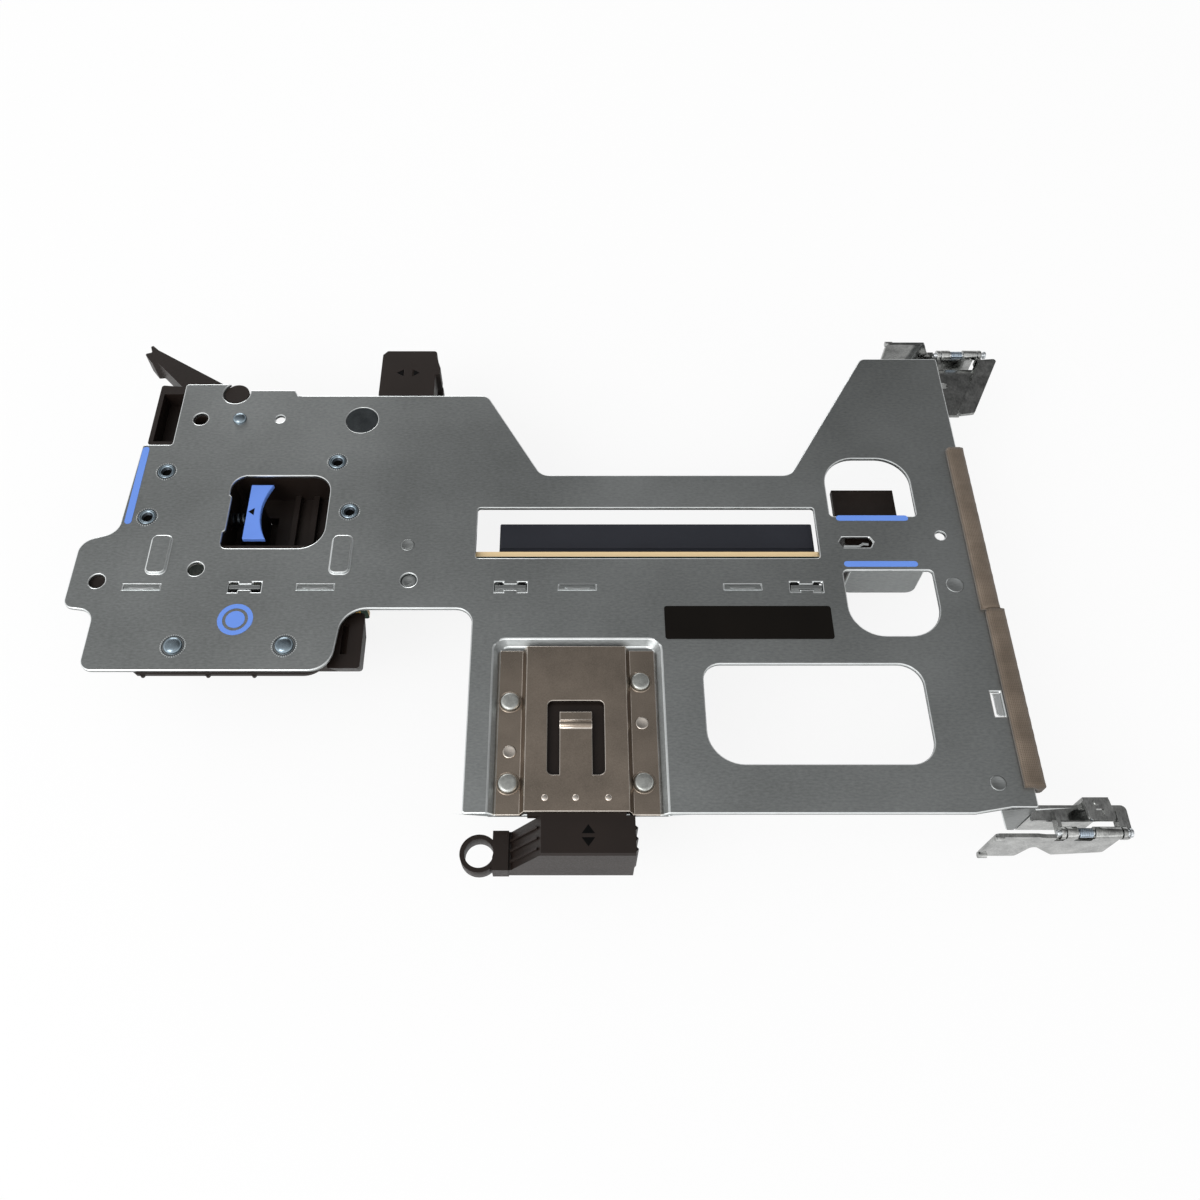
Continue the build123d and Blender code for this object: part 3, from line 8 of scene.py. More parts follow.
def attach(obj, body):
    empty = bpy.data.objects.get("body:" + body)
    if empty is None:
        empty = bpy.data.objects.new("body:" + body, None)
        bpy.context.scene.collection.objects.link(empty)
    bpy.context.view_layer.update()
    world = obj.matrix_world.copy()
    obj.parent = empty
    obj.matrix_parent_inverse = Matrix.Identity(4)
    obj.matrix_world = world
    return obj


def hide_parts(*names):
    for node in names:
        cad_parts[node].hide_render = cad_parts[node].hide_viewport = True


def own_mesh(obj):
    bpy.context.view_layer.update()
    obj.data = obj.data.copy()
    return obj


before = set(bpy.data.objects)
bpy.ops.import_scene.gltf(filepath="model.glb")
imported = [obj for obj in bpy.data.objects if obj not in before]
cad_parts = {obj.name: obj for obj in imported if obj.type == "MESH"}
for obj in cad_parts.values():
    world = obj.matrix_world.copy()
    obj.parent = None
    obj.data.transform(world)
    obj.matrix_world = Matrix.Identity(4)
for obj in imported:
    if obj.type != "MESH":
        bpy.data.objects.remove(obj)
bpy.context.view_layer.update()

print("stage: frame loaded,", len(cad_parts), "nodes")

mm = 0.001
sheetTop = 37.0  # top of the sheet above the docking edge, mm
recessTop = 36.3  # top of the guide plate in the pocket
printLift = 0.01  # prints and films start this far above the sheet
axisRadius = 0.001  # where a turned profile closes on its axis
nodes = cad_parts
lowColour, highColour, mixedColour = 6, 7, 2  # colour sockets of a Mix node


def fromHex(code):
    # sRGB hex to the linear colour a shader wants
    parts = [int(code[i:i + 2], 16) / 255 for i in (1, 3, 5)]
    return [p / 12.92 if p <= 0.04045 else ((p + 0.055) / 1.055) ** 2.4 for p in parts] + [1.0]


def addNode(tree, kind, settings=None, links=None):
    # one node with its settings and incoming links
    node = tree.nodes.new(kind)
    for key, value in (settings or {}).items():
        if isinstance(key, int) or key in node.inputs:
            node.inputs[key].default_value = value
        else:
            setattr(node, key, value)
    for key, source in (links or {}).items():
        tree.links.new(source, node.inputs[key])
    return node


def newFinish(name, shaderSettings):
    # empty material with its shader and the object's own coordinates
    material = bpy.data.materials.new(name)
    material.use_nodes = True
    tree = material.node_tree
    tree.nodes.clear()
    shader = addNode(tree, "ShaderNodeBsdfPrincipled", shaderSettings)
    addNode(tree, "ShaderNodeOutputMaterial", None, {"Surface": shader.outputs["BSDF"]})
    place = addNode(tree, "ShaderNodeTexCoord").outputs["Object"]
    return material, tree, shader, place


def metalFinish(name, low, high, roughness, grain, patch, bump, stretch=(1.0, 1.0, 1.0)):
    # sheet or turned metal: a grain, cloudy patches and a slightly uneven gloss; grain and patch in mm
    material, tree, shader, place = newFinish(name, {"Metallic": 1.0, "Roughness": roughness})
    along = addNode(tree, "ShaderNodeMapping", {"Scale": stretch}, {"Vector": place}).outputs["Vector"]
    fine = addNode(tree, "ShaderNodeTexNoise", {"Scale": 1 / (grain * mm), "Detail": 3.0, "Roughness": 0.6},
                   {"Vector": along}).outputs["Fac"]
    cloud = addNode(tree, "ShaderNodeTexNoise", {"Scale": 1 / (patch * mm), "Detail": 4.0, "Roughness": 0.55},
                    {"Vector": place}).outputs["Fac"]
    # the grain counts 0.9 times as much as the patches
    tone = addNode(tree, "ShaderNodeMath", {"operation": "MULTIPLY_ADD", 1: 0.9}, {0: fine, 2: cloud})
    spread = addNode(tree, "ShaderNodeMapRange",
                     {"From Min": 0.65, "From Max": 1.25, "To Min": 0.0, "To Max": 1.0},
                     {"Value": tone.outputs[0]})
    colour = addNode(tree, "ShaderNodeMix",
                     {"data_type": "RGBA", lowColour: fromHex(low), highColour: fromHex(high)},
                     {0: spread.outputs[0]})
    tree.links.new(colour.outputs[mixedColour], shader.inputs["Base Color"])
    gloss = addNode(tree, "ShaderNodeMapRange", {
        "From Min": 0.3, "From Max": 0.7, "To Min": roughness - 0.03, "To Max": roughness + 0.04},
        {"Value": cloud})
    tree.links.new(gloss.outputs[0], shader.inputs["Roughness"])
    relief = addNode(tree, "ShaderNodeBump", {"Strength": bump, "Distance": 0.02 * mm}, {"Height": fine})
    tree.links.new(relief.outputs[0], shader.inputs["Normal"])
    return material


def mouldedFinish(name, low, high, roughness, spark, bump, shine=0.5):
    # moulded plastic: a spark texture of so many mm from the tool and faint cloudy colour
    material, tree, shader, place = newFinish(
        name, {"Roughness": roughness, "IOR": 1.53, "Specular IOR Level": shine})
    cloud = addNode(tree, "ShaderNodeTexNoise", {"Scale": 1 / (14 * mm), "Detail": 3.0}, {"Vector": place})
    colour = addNode(tree, "ShaderNodeMix",
                     {"data_type": "RGBA", lowColour: fromHex(low), highColour: fromHex(high)},
                     {0: cloud.outputs["Fac"]})
    tree.links.new(colour.outputs[mixedColour], shader.inputs["Base Color"])
    pits = addNode(tree, "ShaderNodeTexNoise", {"Scale": 1 / (spark * mm), "Detail": 2.0}, {"Vector": place})
    relief = addNode(tree, "ShaderNodeBump", {"Strength": bump, "Distance": 0.03 * mm},
                     {"Height": pits.outputs["Fac"]})
    tree.links.new(relief.outputs[0], shader.inputs["Normal"])
    gloss = addNode(tree, "ShaderNodeMapRange", {
        "From Min": 0.3, "From Max": 0.7, "To Min": roughness - 0.05, "To Max": roughness + 0.06},
        {"Value": pits.outputs["Fac"]})
    tree.links.new(gloss.outputs[0], shader.inputs["Roughness"])
    return material


# Zinc-coated cold-rolled sheet: satin grey with faint rolling marks, drawn as coarse as 0.5 mm to show
zincSheet = metalFinish("zincCoatedSheet", "#858887", "#a4a7a7", roughness=0.38, grain=0.5, patch=60.0,
                        bump=0.25, stretch=(0.4, 1.0, 1.0))
# Painted highlight: the same coating made pale on the rolled edges, knurls, slit lips and tabs
zincEdgeHighlight = metalFinish("zincPaintedHighlight", "#dde1e1", "#f0f3f3", roughness=0.30, grain=0.4, patch=9.0,
                         bump=0.03)
# Stainless spring sheet: warmer and darker, with a fine even grain
springSheet = metalFinish("stainlessSpringSheet", "#857b70", "#a39689", roughness=0.29, grain=0.3, patch=11.0,
                          bump=0.24)
# Painted highlight: the spring sheet made pale and warm on its pressed edges, dimples and pips
stainlessEdgeHighlight = metalFinish("stainlessPaintedHighlight", "#c9c0b6", "#ded6cd", roughness=0.26, grain=0.4, patch=9.0,
                           bump=0.03)
# Bright-zinc fasteners: bluish, a little darker than nickel
blueZinc = metalFinish("blueZincFastener", "#6f7c85", "#93a1aa", roughness=0.24, grain=0.3, patch=4.0,
                       bump=0.06)
# Set rivet heads: dull with fine hammer marks from the setting tool
rivetSteel = metalFinish("setRivetSteel", "#9c9e9a", "#c4c6c2", roughness=0.38, grain=0.35, patch=1.6,
                         bump=0.35)
# Nickel-plated turned parts: bright and smooth
nickelTurned = metalFinish("nickelTurnedSteel", "#bfc4c8", "#d3d6d8", roughness=0.26, grain=0.3, patch=8.0,
                           bump=0.03)
# Nickel-plated stampings of the latches: glossier, with cloudy light and dark patches, partly the plating's
# own tone and partly painted reflection
nickelStamped = metalFinish("nickelStampedSteel", "#7f807f", "#c6c7c5", roughness=0.15, grain=0.4, patch=4.0,
                            bump=0.1, stretch=(1.0, 0.4, 1.0))
# Zinc-plated spring wire: bluish, drawn smooth
zincWire = metalFinish("zincSpringWire", "#8d99a6", "#b4c0cb", roughness=0.25, grain=0.3, patch=2.0, bump=0.1,
                       stretch=(0.3, 1.0, 1.0))
# Dark steel of the bore threads, the deep screws and the return spring: nearly black, partly its own colour
# and partly painted shade where they sit deep, with a soft gleam
darkSteelAndShade = metalFinish("darkSteelWithShade", "#2c3034", "#3a3f44", roughness=0.38, grain=0.3, patch=5.0,
                        bump=0.05)
# Painted shade: a dull grey ring round each pressed fastener, where its groove lies in shade
grooveShade = metalFinish("grooveShadeSteel", "#4f5356", "#626669", roughness=0.42, grain=0.3, patch=3.0,
                          bump=0.1)
# Blackened steel head pressed flush into the sheet: a dark disc without colour
darkHead = metalFinish("blackenedSteelHead", "#3b3f41", "#4c5052", roughness=0.40, grain=0.4, patch=4.0,
                       bump=0.2)
# Gold over nickel on copper pads: deep yellow and even
goldPlate = metalFinish("hardGoldPlate", "#c9973c", "#e2b65c", roughness=0.22, grain=0.3, patch=2.0,
                        bump=0.05)

# Black glass-filled moulding: fine spark texture, slightly brown where light grazes it
blackMoulded = mouldedFinish("blackGlassFilledPlastic", "#17110e", "#241c18", roughness=0.42, spark=0.35,
                             bump=0.35, shine=0.24)
# Blue pad print of the touch marks: flat and even, with a weak gloss
bluePrint = mouldedFinish("touchBluePrint", "#6087d8", "#6b92e1", roughness=0.50, spark=0.5, bump=0.1,
                          shine=0.3)
# Slot housing of liquid-crystal polymer: dull, with a blue cast beside the brownish mouldings
slotMoulded = mouldedFinish("slotPolymer", "#1b1d24", "#25272f", roughness=0.55, spark=0.3, bump=0.3,
                            shine=0.35)
# Matt polyester label film: the darkest field on the sheet, without a highlight
labelFilm = mouldedFinish("blackLabelFilm", "#0d0b09", "#14110e", roughness=0.60, spark=0.4, bump=0.05,
                          shine=0.06)
# Black pad print of the arrows, also painted shade at the foot of the nuts' bores: darker than the mouldings
blackPrintAndShade = mouldedFinish("blackPrintAndShade", "#050505", "#090909", roughness=0.50, spark=0.4, bump=0.05,
                           shine=0.05)
# Epoxy bodies of the board's components: grey-black with a dull sheen
chipMoulded = mouldedFinish("blackEpoxyMoulding", "#17171a", "#202124", roughness=0.5, spark=0.25, bump=0.25)
# Solder mask over the ground around the contacts: dark green, glossier than the laminate
maskGreen = mouldedFinish("solderMask", "#10291b", "#143021", roughness=0.40, spark=0.4, bump=0.05)


def laminateFinish():
    # glass-epoxy board: dark green solder mask on its faces, cream glass layers along its cut edge
    material, tree, shader, place = newFinish("glassEpoxyBoard", {"Roughness": 0.42, "IOR": 1.5})
    # the faces look along Y, every cut edge looks another way
    normal = addNode(tree, "ShaderNodeSeparateXYZ", None,
                     {"Vector": addNode(tree, "ShaderNodeTexCoord").outputs["Normal"]})
    lean = addNode(tree, "ShaderNodeMath", {"operation": "ABSOLUTE"}, {0: normal.outputs["Y"]})
    face = addNode(tree, "ShaderNodeMath", {"operation": "GREATER_THAN", 1: 0.5}, {0: lean.outputs[0]})
    # glass layers of 0.4 mm through the 1.6 mm board
    depth = addNode(tree, "ShaderNodeSeparateXYZ", None, {"Vector": place})
    phase = addNode(tree, "ShaderNodeMath", {"operation": "MULTIPLY", 1: 2 * pi / (0.4 * mm)},
                    {0: depth.outputs["Y"]})
    layers = addNode(tree, "ShaderNodeMath", {"operation": "SINE"}, {0: phase.outputs[0]})
    ply = addNode(tree, "ShaderNodeMapRange", {"From Min": -1.0, "From Max": 1.0},
                  {"Value": layers.outputs[0]})
    edge = addNode(tree, "ShaderNodeMix",
                   {"data_type": "RGBA", lowColour: fromHex("#d9b984"), highColour: fromHex("#efd9b2")},
                   {0: ply.outputs[0]})
    # copper under the mask, drawn as upright lines 0.26 mm wide and 11 mm apart
    tracks = addNode(tree, "ShaderNodeTexBrick", {
        "Scale": 1 / (22 * mm), "Mortar Size": 0.006, "Color1": fromHex("#12301f"),
        "Color2": fromHex("#0f2a1b"), "Mortar": fromHex("#1b4a2d")}, {"Vector": place})
    colour = addNode(tree, "ShaderNodeMix", {"data_type": "RGBA"},
                     {0: face.outputs[0], lowColour: edge.outputs[mixedColour],
                      highColour: tracks.outputs["Color"]})
    tree.links.new(colour.outputs[mixedColour], shader.inputs["Base Color"])
    return material


def clothFinish():
    # silver-plated polyester cloth over foam: a fine weave, dulled to a tan grey
    material, tree, shader, place = newFinish("conductiveCloth", {
        "Roughness": 0.68, "Metallic": 0.15, "Sheen Weight": 0.15, "Sheen Roughness": 0.5})
    # 0.45 mm between threads, coarser than in the real cloth to show; the wave texture repeats every 0.314
    threads = 0.314 / (0.45 * mm)
    warp = addNode(tree, "ShaderNodeTexWave", {"bands_direction": "Y", "Scale": threads}, {"Vector": place})
    weft = addNode(tree, "ShaderNodeTexWave", {"bands_direction": "X", "Scale": threads}, {"Vector": place})
    weave = addNode(tree, "ShaderNodeMath", {"operation": "MAXIMUM"},
                    {0: warp.outputs["Fac"], 1: weft.outputs["Fac"]})
    cloud = addNode(tree, "ShaderNodeTexNoise", {"Scale": 1 / (6 * mm), "Detail": 5.0}, {"Vector": place})
    tone = addNode(tree, "ShaderNodeMath", {"operation": "MULTIPLY"},
                   {0: weave.outputs[0], 1: cloud.outputs["Fac"]})
    shade = addNode(tree, "ShaderNodeMapRange", {"From Min": 0.1, "From Max": 0.65},
                    {"Value": tone.outputs[0]})
    colour = addNode(tree, "ShaderNodeMix",
                     {"data_type": "RGBA", lowColour: fromHex("#4b4034"), highColour: fromHex("#76685a")},
                     {0: shade.outputs[0]})
    tree.links.new(colour.outputs[mixedColour], shader.inputs["Base Color"])
    relief = addNode(tree, "ShaderNodeBump", {"Strength": 0.5, "Distance": 0.08 * mm},
                     {"Height": weave.outputs[0]})
    tree.links.new(relief.outputs[0], shader.inputs["Normal"])
    return material


def latchFinish():
    # two-shot moulding: the finger plate is touch blue, the leg under it black
    material = mouldedFinish("touchBluePlastic", "#5f86da", "#6c92e4", roughness=0.42, spark=0.35, bump=0.2,
                             shine=0.35)
    tree = material.node_tree
    shader = [node for node in tree.nodes if node.bl_idname == "ShaderNodeBsdfPrincipled"][0]
    blue = shader.inputs["Base Color"].links[0].from_socket
    height = addNode(tree, "ShaderNodeSeparateXYZ", None,
                     {"Vector": addNode(tree, "ShaderNodeTexCoord").outputs["Object"]})
    # the plate starts 33.4 mm up
    plate = addNode(tree, "ShaderNodeMath", {"operation": "GREATER_THAN", 1: 33.4 * mm},
                    {0: height.outputs["Z"]})
    colour = addNode(tree, "ShaderNodeMix", {"data_type": "RGBA", lowColour: fromHex("#100c0b")},
                     {0: plate.outputs[0], highColour: blue})
    tree.links.new(colour.outputs[mixedColour], shader.inputs["Base Color"])
    return material


blueMoulded = latchFinish()
boardLaminate = laminateFinish()
gasketCloth = clothFinish()
print("stage: finishes made")

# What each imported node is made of, and how far its edges are rounded in mm
nodeFinish = {
    "carrier": (zincSheet, 0.3), "rear_wall": (zincSheet, 0.2), "board_wall": (zincSheet, 0.2),
    "riser_board": (boardLaminate, 0.0), "dock_contacts": (maskGreen, 0.0),
    "rear_slot": (slotMoulded, 0.15), "front_slot": (slotMoulded, 0.15),
    "board_spacers": (nickelTurned, 0.15), "board_screws": (nickelTurned, 0.15),
    "board_parts": (chipMoulded, 0.15), "guide_plate": (springSheet, 0.2), "guide_rivets": (rivetSteel, 0.3),
    "front_holder": (blackMoulded, 0.3), "rear_holder": (blackMoulded, 0.35),
    "latch_housing": (blackMoulded, 0.3), "release_latch": (blueMoulded, 0.35),
    "return_spring": (zincWire, 0.0), "wing_mould": (blackMoulded, 0.3), "cable_arm": (blackMoulded, 0.3),
    # the housing screws sit deep: their near-black steel is partly painted shade
    "clinch_nuts": (blueZinc, 0.15), "housing_screws": (darkSteelAndShade, 0.3), "wing_studs": (blueZinc, 0.25),
    "flush_standoff": (darkHead, 0.1), "front_gasket": (gasketCloth, 0.0), "rear_gasket": (gasketCloth, 0.0),
    "front_latch": (nickelStamped, 0.2), "rear_latch": (nickelStamped, 0.2),
    "front_latch_pin": (nickelTurned, 0.2), "rear_latch_pin": (nickelTurned, 0.2),
    "front_latch_spring": (zincWire, 0.0), "rear_latch_spring": (zincWire, 0.0),
    "front_latch_bracket": (nickelStamped, 0.2), "rear_latch_bracket": (nickelStamped, 0.2),
    "grip_mould": (blackMoulded, 0.3),
}
# Sheet parts whose rounded edges get a painted highlight
edgeHighlight = {"carrier": zincEdgeHighlight, "rear_wall": zincEdgeHighlight, "guide_plate": stainlessEdgeHighlight}
edgeWork = {"weld": 0.002, "flatAngle": 1.5, "sharpAngle": 35, "segments": 2}
for name, (finish, edgeRadius) in nodeFinish.items():
    node = nodes[name]
    node.data.materials.clear()
    node.data.materials.append(finish)
    if edgeRadius:
        # join the loose triangles, clear the flat faces, then round the edges
        weld = node.modifiers.new("weld", "WELD")
        weld.merge_threshold = edgeWork["weld"] * mm
        flat = node.modifiers.new("flat", "DECIMATE")
        flat.decimate_type = "DISSOLVE"
        flat.angle_limit = radians(edgeWork["flatAngle"])
        soft = node.modifiers.new("soft", "BEVEL")
        soft.width = edgeRadius * mm
        soft.segments = edgeWork["segments"]
        soft.limit_method = "ANGLE"
        soft.angle_limit = radians(edgeWork["sharpAngle"])
        soft.harden_normals = False
        soft.use_clamp_overlap = name not in edgeHighlight
        # the rounded edges take the pale finish as a painted highlight
        if name in edgeHighlight:
            node.data.materials.append(edgeHighlight[name])
            soft.material = 1
print("stage: nodes finished")


def newPiece(name, shape, finish, body, smooth=False):
    # bmesh in mm to a finished piece in the frame, riding on its body
    bmesh.ops.remove_doubles(shape, verts=shape.verts, dist=0.0005)
    bmesh.ops.recalc_face_normals(shape, faces=shape.faces)
    bmesh.ops.transform(shape, matrix=Matrix.Scale(mm, 4), verts=shape.verts)
    for face in shape.faces:
        face.smooth = smooth
    data = bpy.data.meshes.new(name)
    shape.to_mesh(data)
    shape.free()
    data.materials.append(finish)
    piece = bpy.data.objects.new(name, data)
    bpy.context.scene.collection.objects.link(piece)
    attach(piece, body)
    return piece


def addPlate(shape, points, low, thickness):
    # flat plate over an outline, from low upwards
    corners = [shape.verts.new((x, y, low)) for x, y in points]
    face = shape.faces.new(corners)
    raised = bmesh.ops.extrude_face_region(shape, geom=[face])
    lifted = [item for item in raised["geom"] if isinstance(item, bmesh.types.BMVert)]
    bmesh.ops.translate(shape, vec=(0, 0, thickness), verts=lifted)


def addDisc(shape, centre, radius, low, thickness, segments):
    # upright disc from low upwards
    bmesh.ops.create_cone(
        shape, cap_ends=True, segments=segments, radius1=radius, radius2=radius, depth=thickness,
        matrix=Matrix.Translation((centre[0], centre[1], low + thickness / 2)))


def addTurned(shape, profile, centre, steps, closed=True):
    # profile of (radius, height) pairs turned about a vertical axis at the centre
    points = [shape.verts.new((centre[0] + r, centre[1], z)) for r, z in profile]
    last = len(points) if closed else len(points) - 1
    lines = [shape.edges.new((points[i], points[(i + 1) % len(points)])) for i in range(last)]
    bmesh.ops.spin(shape, geom=points + lines, cent=(centre[0], centre[1], 0), axis=(0, 0, 1),
                   angle=2 * pi, steps=steps, use_merge=True, use_duplicate=False)


def addBlock(shape, low, high, turn=0.0):
    # block between two corners, turned about its own upright middle
    size = [high[i] - low[i] for i in range(3)]
    middle = Vector([(high[i] + low[i]) / 2 for i in range(3)])
    place = Matrix.Translation(middle) @ Matrix.Rotation(turn, 4, "Z") @ Matrix.Diagonal((*size, 1.0))
    bmesh.ops.create_cube(shape, size=1.0, matrix=place)


def addDome(shape, centre, radius, foot, rise, steps=40):
    # low dome with a tight shoulder
    addTurned(shape, [
        (radius, foot), (radius, foot + rise * 0.25), (radius * 0.93, foot + rise * 0.55),
        (radius * 0.72, foot + rise * 0.82), (radius * 0.4, foot + rise * 0.96), (axisRadius, foot + rise)],
        centre, steps=steps, closed=False)


def addTriangle(shape, centre, reach, half, turn, low, film):
    # arrow head pointing along the turn angle
    base = [(reach, 0.0), (-reach * 0.35, half), (-reach * 0.35, -half)]
    addPlate(shape, [(centre[0] + x * cos(turn) - y * sin(turn), centre[1] + x * sin(turn) + y * cos(turn))
                     for x, y in base], low, film)


def capsule(x0, x1, y0, y1, roundSteps=6):
    # outline of a bar with round ends, its width the narrow side of the box
    points = []
    if x1 - x0 > y1 - y0:
        r = (y1 - y0) / 2
        ends = [((x1 - r, y0 + r), -90), ((x0 + r, y0 + r), 90)]
    else:
        r = (x1 - x0) / 2
        ends = [((x0 + r, y1 - r), 0), ((x0 + r, y0 + r), 180)]
    for (cx, cy), start in ends:
        for i in range(roundSteps + 1):
            a = radians(start + 180 * i / roundSteps)
            points.append((cx + r * cos(a), cy + r * sin(a)))
    return points


# Blue touch marks, pad-printed on the sheet: a ring round a dot, a strip at the edge and two bars
marks = {
    "centre": (0.0, -22.1), "ringOuter": 4.75, "ringInner": 3.42, "dot": 2.57, "film": 0.05, "steps": 64,
    "strips": [(-36.1, -34.1, 8.7, 36.1), (164.0, 184.3, 9.8, 11.6), (164.3, 184.6, -5.5, -3.7)],
}
shape = bmesh.new()
low = sheetTop + printLift
top = low + marks["film"]
addTurned(shape, [(marks["ringInner"], low), (marks["ringOuter"], low), (marks["ringOuter"], top),
                  (marks["ringInner"], top)], marks["centre"], steps=marks["steps"])
addDisc(shape, marks["centre"], marks["dot"], low, marks["film"], marks["steps"])
for strip in marks["strips"]:
    addPlate(shape, capsule(*strip), low, marks["film"])
newPiece("touchMarks", shape, bluePrint, "cage")

# Bare label: a plain film with rounded corners
label = {"x": (114.3, 158.9), "y": (-28.0, -18.0), "corner": 0.7, "cornerSteps": 4, "film": 0.12}
shape = bmesh.new()
corners = []
for cx, cy, start in ((label["x"][1], label["y"][1], 0), (label["x"][0], label["y"][1], 90),
                      (label["x"][0], label["y"][0], 180), (label["x"][1], label["y"][0], 270)):
    r = label["corner"]
    mx = cx - r if start in (0, 270) else cx + r
    my = cy - r if start in (0, 90) else cy + r
    for i in range(label["cornerSteps"] + 1):
        a = radians(start + 90 * i / label["cornerSteps"])
        corners.append((mx + r * cos(a), my + r * sin(a)))
addPlate(shape, corners, sheetTop + printLift, label["film"])
newPiece("bareLabel", shape, labelFilm, "cage")
print("stage: marks and label")

# Two arrow heads up and down that fill their recesses in the front holder
frontArrow = {"centre": (93.5, -81.5), "half": 1.6, "foot": 0.5, "tip": 2.7, "low": 37.52, "film": 0.4}
shape = bmesh.new()
x, y = frontArrow["centre"]
for side in (-1, 1):
    foot = y + side * frontArrow["foot"]
    addPlate(shape, [(x - frontArrow["half"], foot), (x + frontArrow["half"], foot),
                     (x, y + side * frontArrow["tip"])], frontArrow["low"], frontArrow["film"])
newPiece("frontArrows", shape, blackPrintAndShade, "front_holder")

# Two printed arrow heads left and right on the rear holder
rearArrow = {"heads": [((37.4, 65.4), pi), ((41.6, 65.4), 0.0)], "reach": 1.3, "half": 1.2, "low": 36.42,
             "film": 0.2}
shape = bmesh.new()
for spot, turn in rearArrow["heads"]:
    addTriangle(shape, spot, rearArrow["reach"], rearArrow["half"], turn, rearArrow["low"], rearArrow["film"])
newPiece("rearArrows", shape, blackPrintAndShade, "rear_holder")

# One printed arrow head to the left on the release latch
releaseArrow = {"spot": (-1.2, 14.2), "turn": pi, "reach": 1.2, "half": 1.2, "low": 35.21, "film": 0.05}
shape = bmesh.new()
addTriangle(shape, releaseArrow["spot"], releaseArrow["reach"], releaseArrow["half"], releaseArrow["turn"],
            releaseArrow["low"], releaseArrow["film"])
newPiece("releaseArrow", shape, blackPrintAndShade, "release_latch")

# Fasteners pressed into the sheet: a knurled rim with painted highlights, a groove in painted shade, and a
# collar or a dome
nutSpots = [(-27.6, 27.1), (-30.0, 11.1), (21.5, 30.6), (26.8, 13.0)]
studSpots = [(-15.1, -30.1), (14.1, -30.0)]
knurls = [
    {"spots": nutSpots, "teeth": 28, "inner": 2.72, "outer": 3.05},
    {"spots": studSpots, "teeth": 34, "inner": 3.05, "outer": 3.4},
]
tooth = {"half": 0.12, "sunk": 0.05, "proud": 0.12}
shape = bmesh.new()
for knurl in knurls:
    middle = (knurl["inner"] + knurl["outer"]) / 2
    half = (knurl["outer"] - knurl["inner"]) / 2
    for cx, cy in knurl["spots"]:
        for i in range(knurl["teeth"]):
            a = 2 * pi * i / knurl["teeth"]
            x = cx + middle * cos(a)
            y = cy + middle * sin(a)
            addBlock(shape, (x - half, y - tooth["half"], sheetTop - tooth["sunk"]),
                     (x + half, y + tooth["half"], sheetTop + tooth["proud"]), a)
# the knurl teeth are drawn in the pale zinc as painted highlights
newPiece("knurledRims", shape, zincEdgeHighlight, "cage")

# Painted shade: a flat dark ring in the sheet where each fastener's groove lies
groove = {"width": 0.3, "low": 36.98, "high": 37.03, "steps": 48}
shape = bmesh.new()
for knurl in knurls:
    outer = knurl["inner"]
    inner = outer - groove["width"]
    for spot in knurl["spots"]:
        addTurned(shape, [(inner, groove["low"]), (inner, groove["high"]), (outer, groove["high"]),
                          (outer, groove["low"])], spot, steps=groove["steps"])
newPiece("grooveShadeRings", shape, grooveShade, "cage")

# Threads of the nuts, drawn as separate rings, in dark steel with painted shade
thread = {"rings": 6, "pitch": 0.5, "first": 0.35, "root": 1.49, "crest": 1.25, "flank": 0.2, "steps": 24}
shape = bmesh.new()
for spot in nutSpots:
    for i in range(thread["rings"]):
        z = sheetTop - thread["first"] - i * thread["pitch"]
        addTurned(shape, [(thread["root"], z + thread["flank"]), (thread["crest"], z),
                          (thread["root"], z - thread["flank"])], spot, steps=thread["steps"])
newPiece("boreThreads", shape, darkSteelAndShade, "cage")

collar = {
    "profile": [(2.42, 37.0), (2.3, 37.22), (1.95, 37.3), (1.7, 37.12), (1.5, 36.8), (1.45, 36.5),
                (2.2, 36.5)],
    "steps": 48,
}
shape = bmesh.new()
for spot in nutSpots:
    addTurned(shape, collar["profile"], spot, steps=collar["steps"])
newPiece("nutCollars", shape, blueZinc, "cage", smooth=True)

# Painted shade: a black disc that closes each nut's bore to the eye
boreShade = {"radius": 1.46, "low": 36.0, "thickness": 0.05, "steps": 24}
shape = bmesh.new()
for spot in nutSpots:
    addDisc(shape, spot, boreShade["radius"], boreShade["low"], boreShade["thickness"], boreShade["steps"])
newPiece("boreShadeDiscs", shape, blackPrintAndShade, "cage")

# Domes of the pressed studs and of the smaller one beside the cable arm
domes = [(spot, 2.5, 1.3) for spot in studSpots] + [((-9.4, 46.7), 2.0, 1.15)]
shape = bmesh.new()
for spot, radius, rise in domes:
    addDome(shape, spot, radius, sheetTop, rise)
newPiece("studDomes", shape, blueZinc, "cage", smooth=True)

# Heads of the guide plate's rivets, and the ring that each has pressed into the plate
rivets = {
    "spots": [(73.9, -46.0), (73.9, -68.0), (107.2, -40.3), (107.2, -67.7)], "steps": 40,
    "cap": [(2.45, 36.3), (2.45, 36.75), (2.3, 37.08), (2.0, 37.26), (1.6, 37.31), (axisRadius, 37.32)],
    "seat": [(2.5, 36.3), (2.5, 36.42), (2.75, 36.47), (3.0, 36.4), (3.0, 36.3)],
}
shape = bmesh.new()
for spot in rivets["spots"]:
    addTurned(shape, rivets["cap"], spot, steps=rivets["steps"], closed=False)
newPiece("rivetCaps", shape, rivetSteel, "cage", smooth=True)
shape = bmesh.new()
for spot in rivets["spots"]:
    addTurned(shape, rivets["seat"], spot, steps=rivets["steps"])
newPiece("rivetSeats", shape, springSheet, "cage", smooth=True)
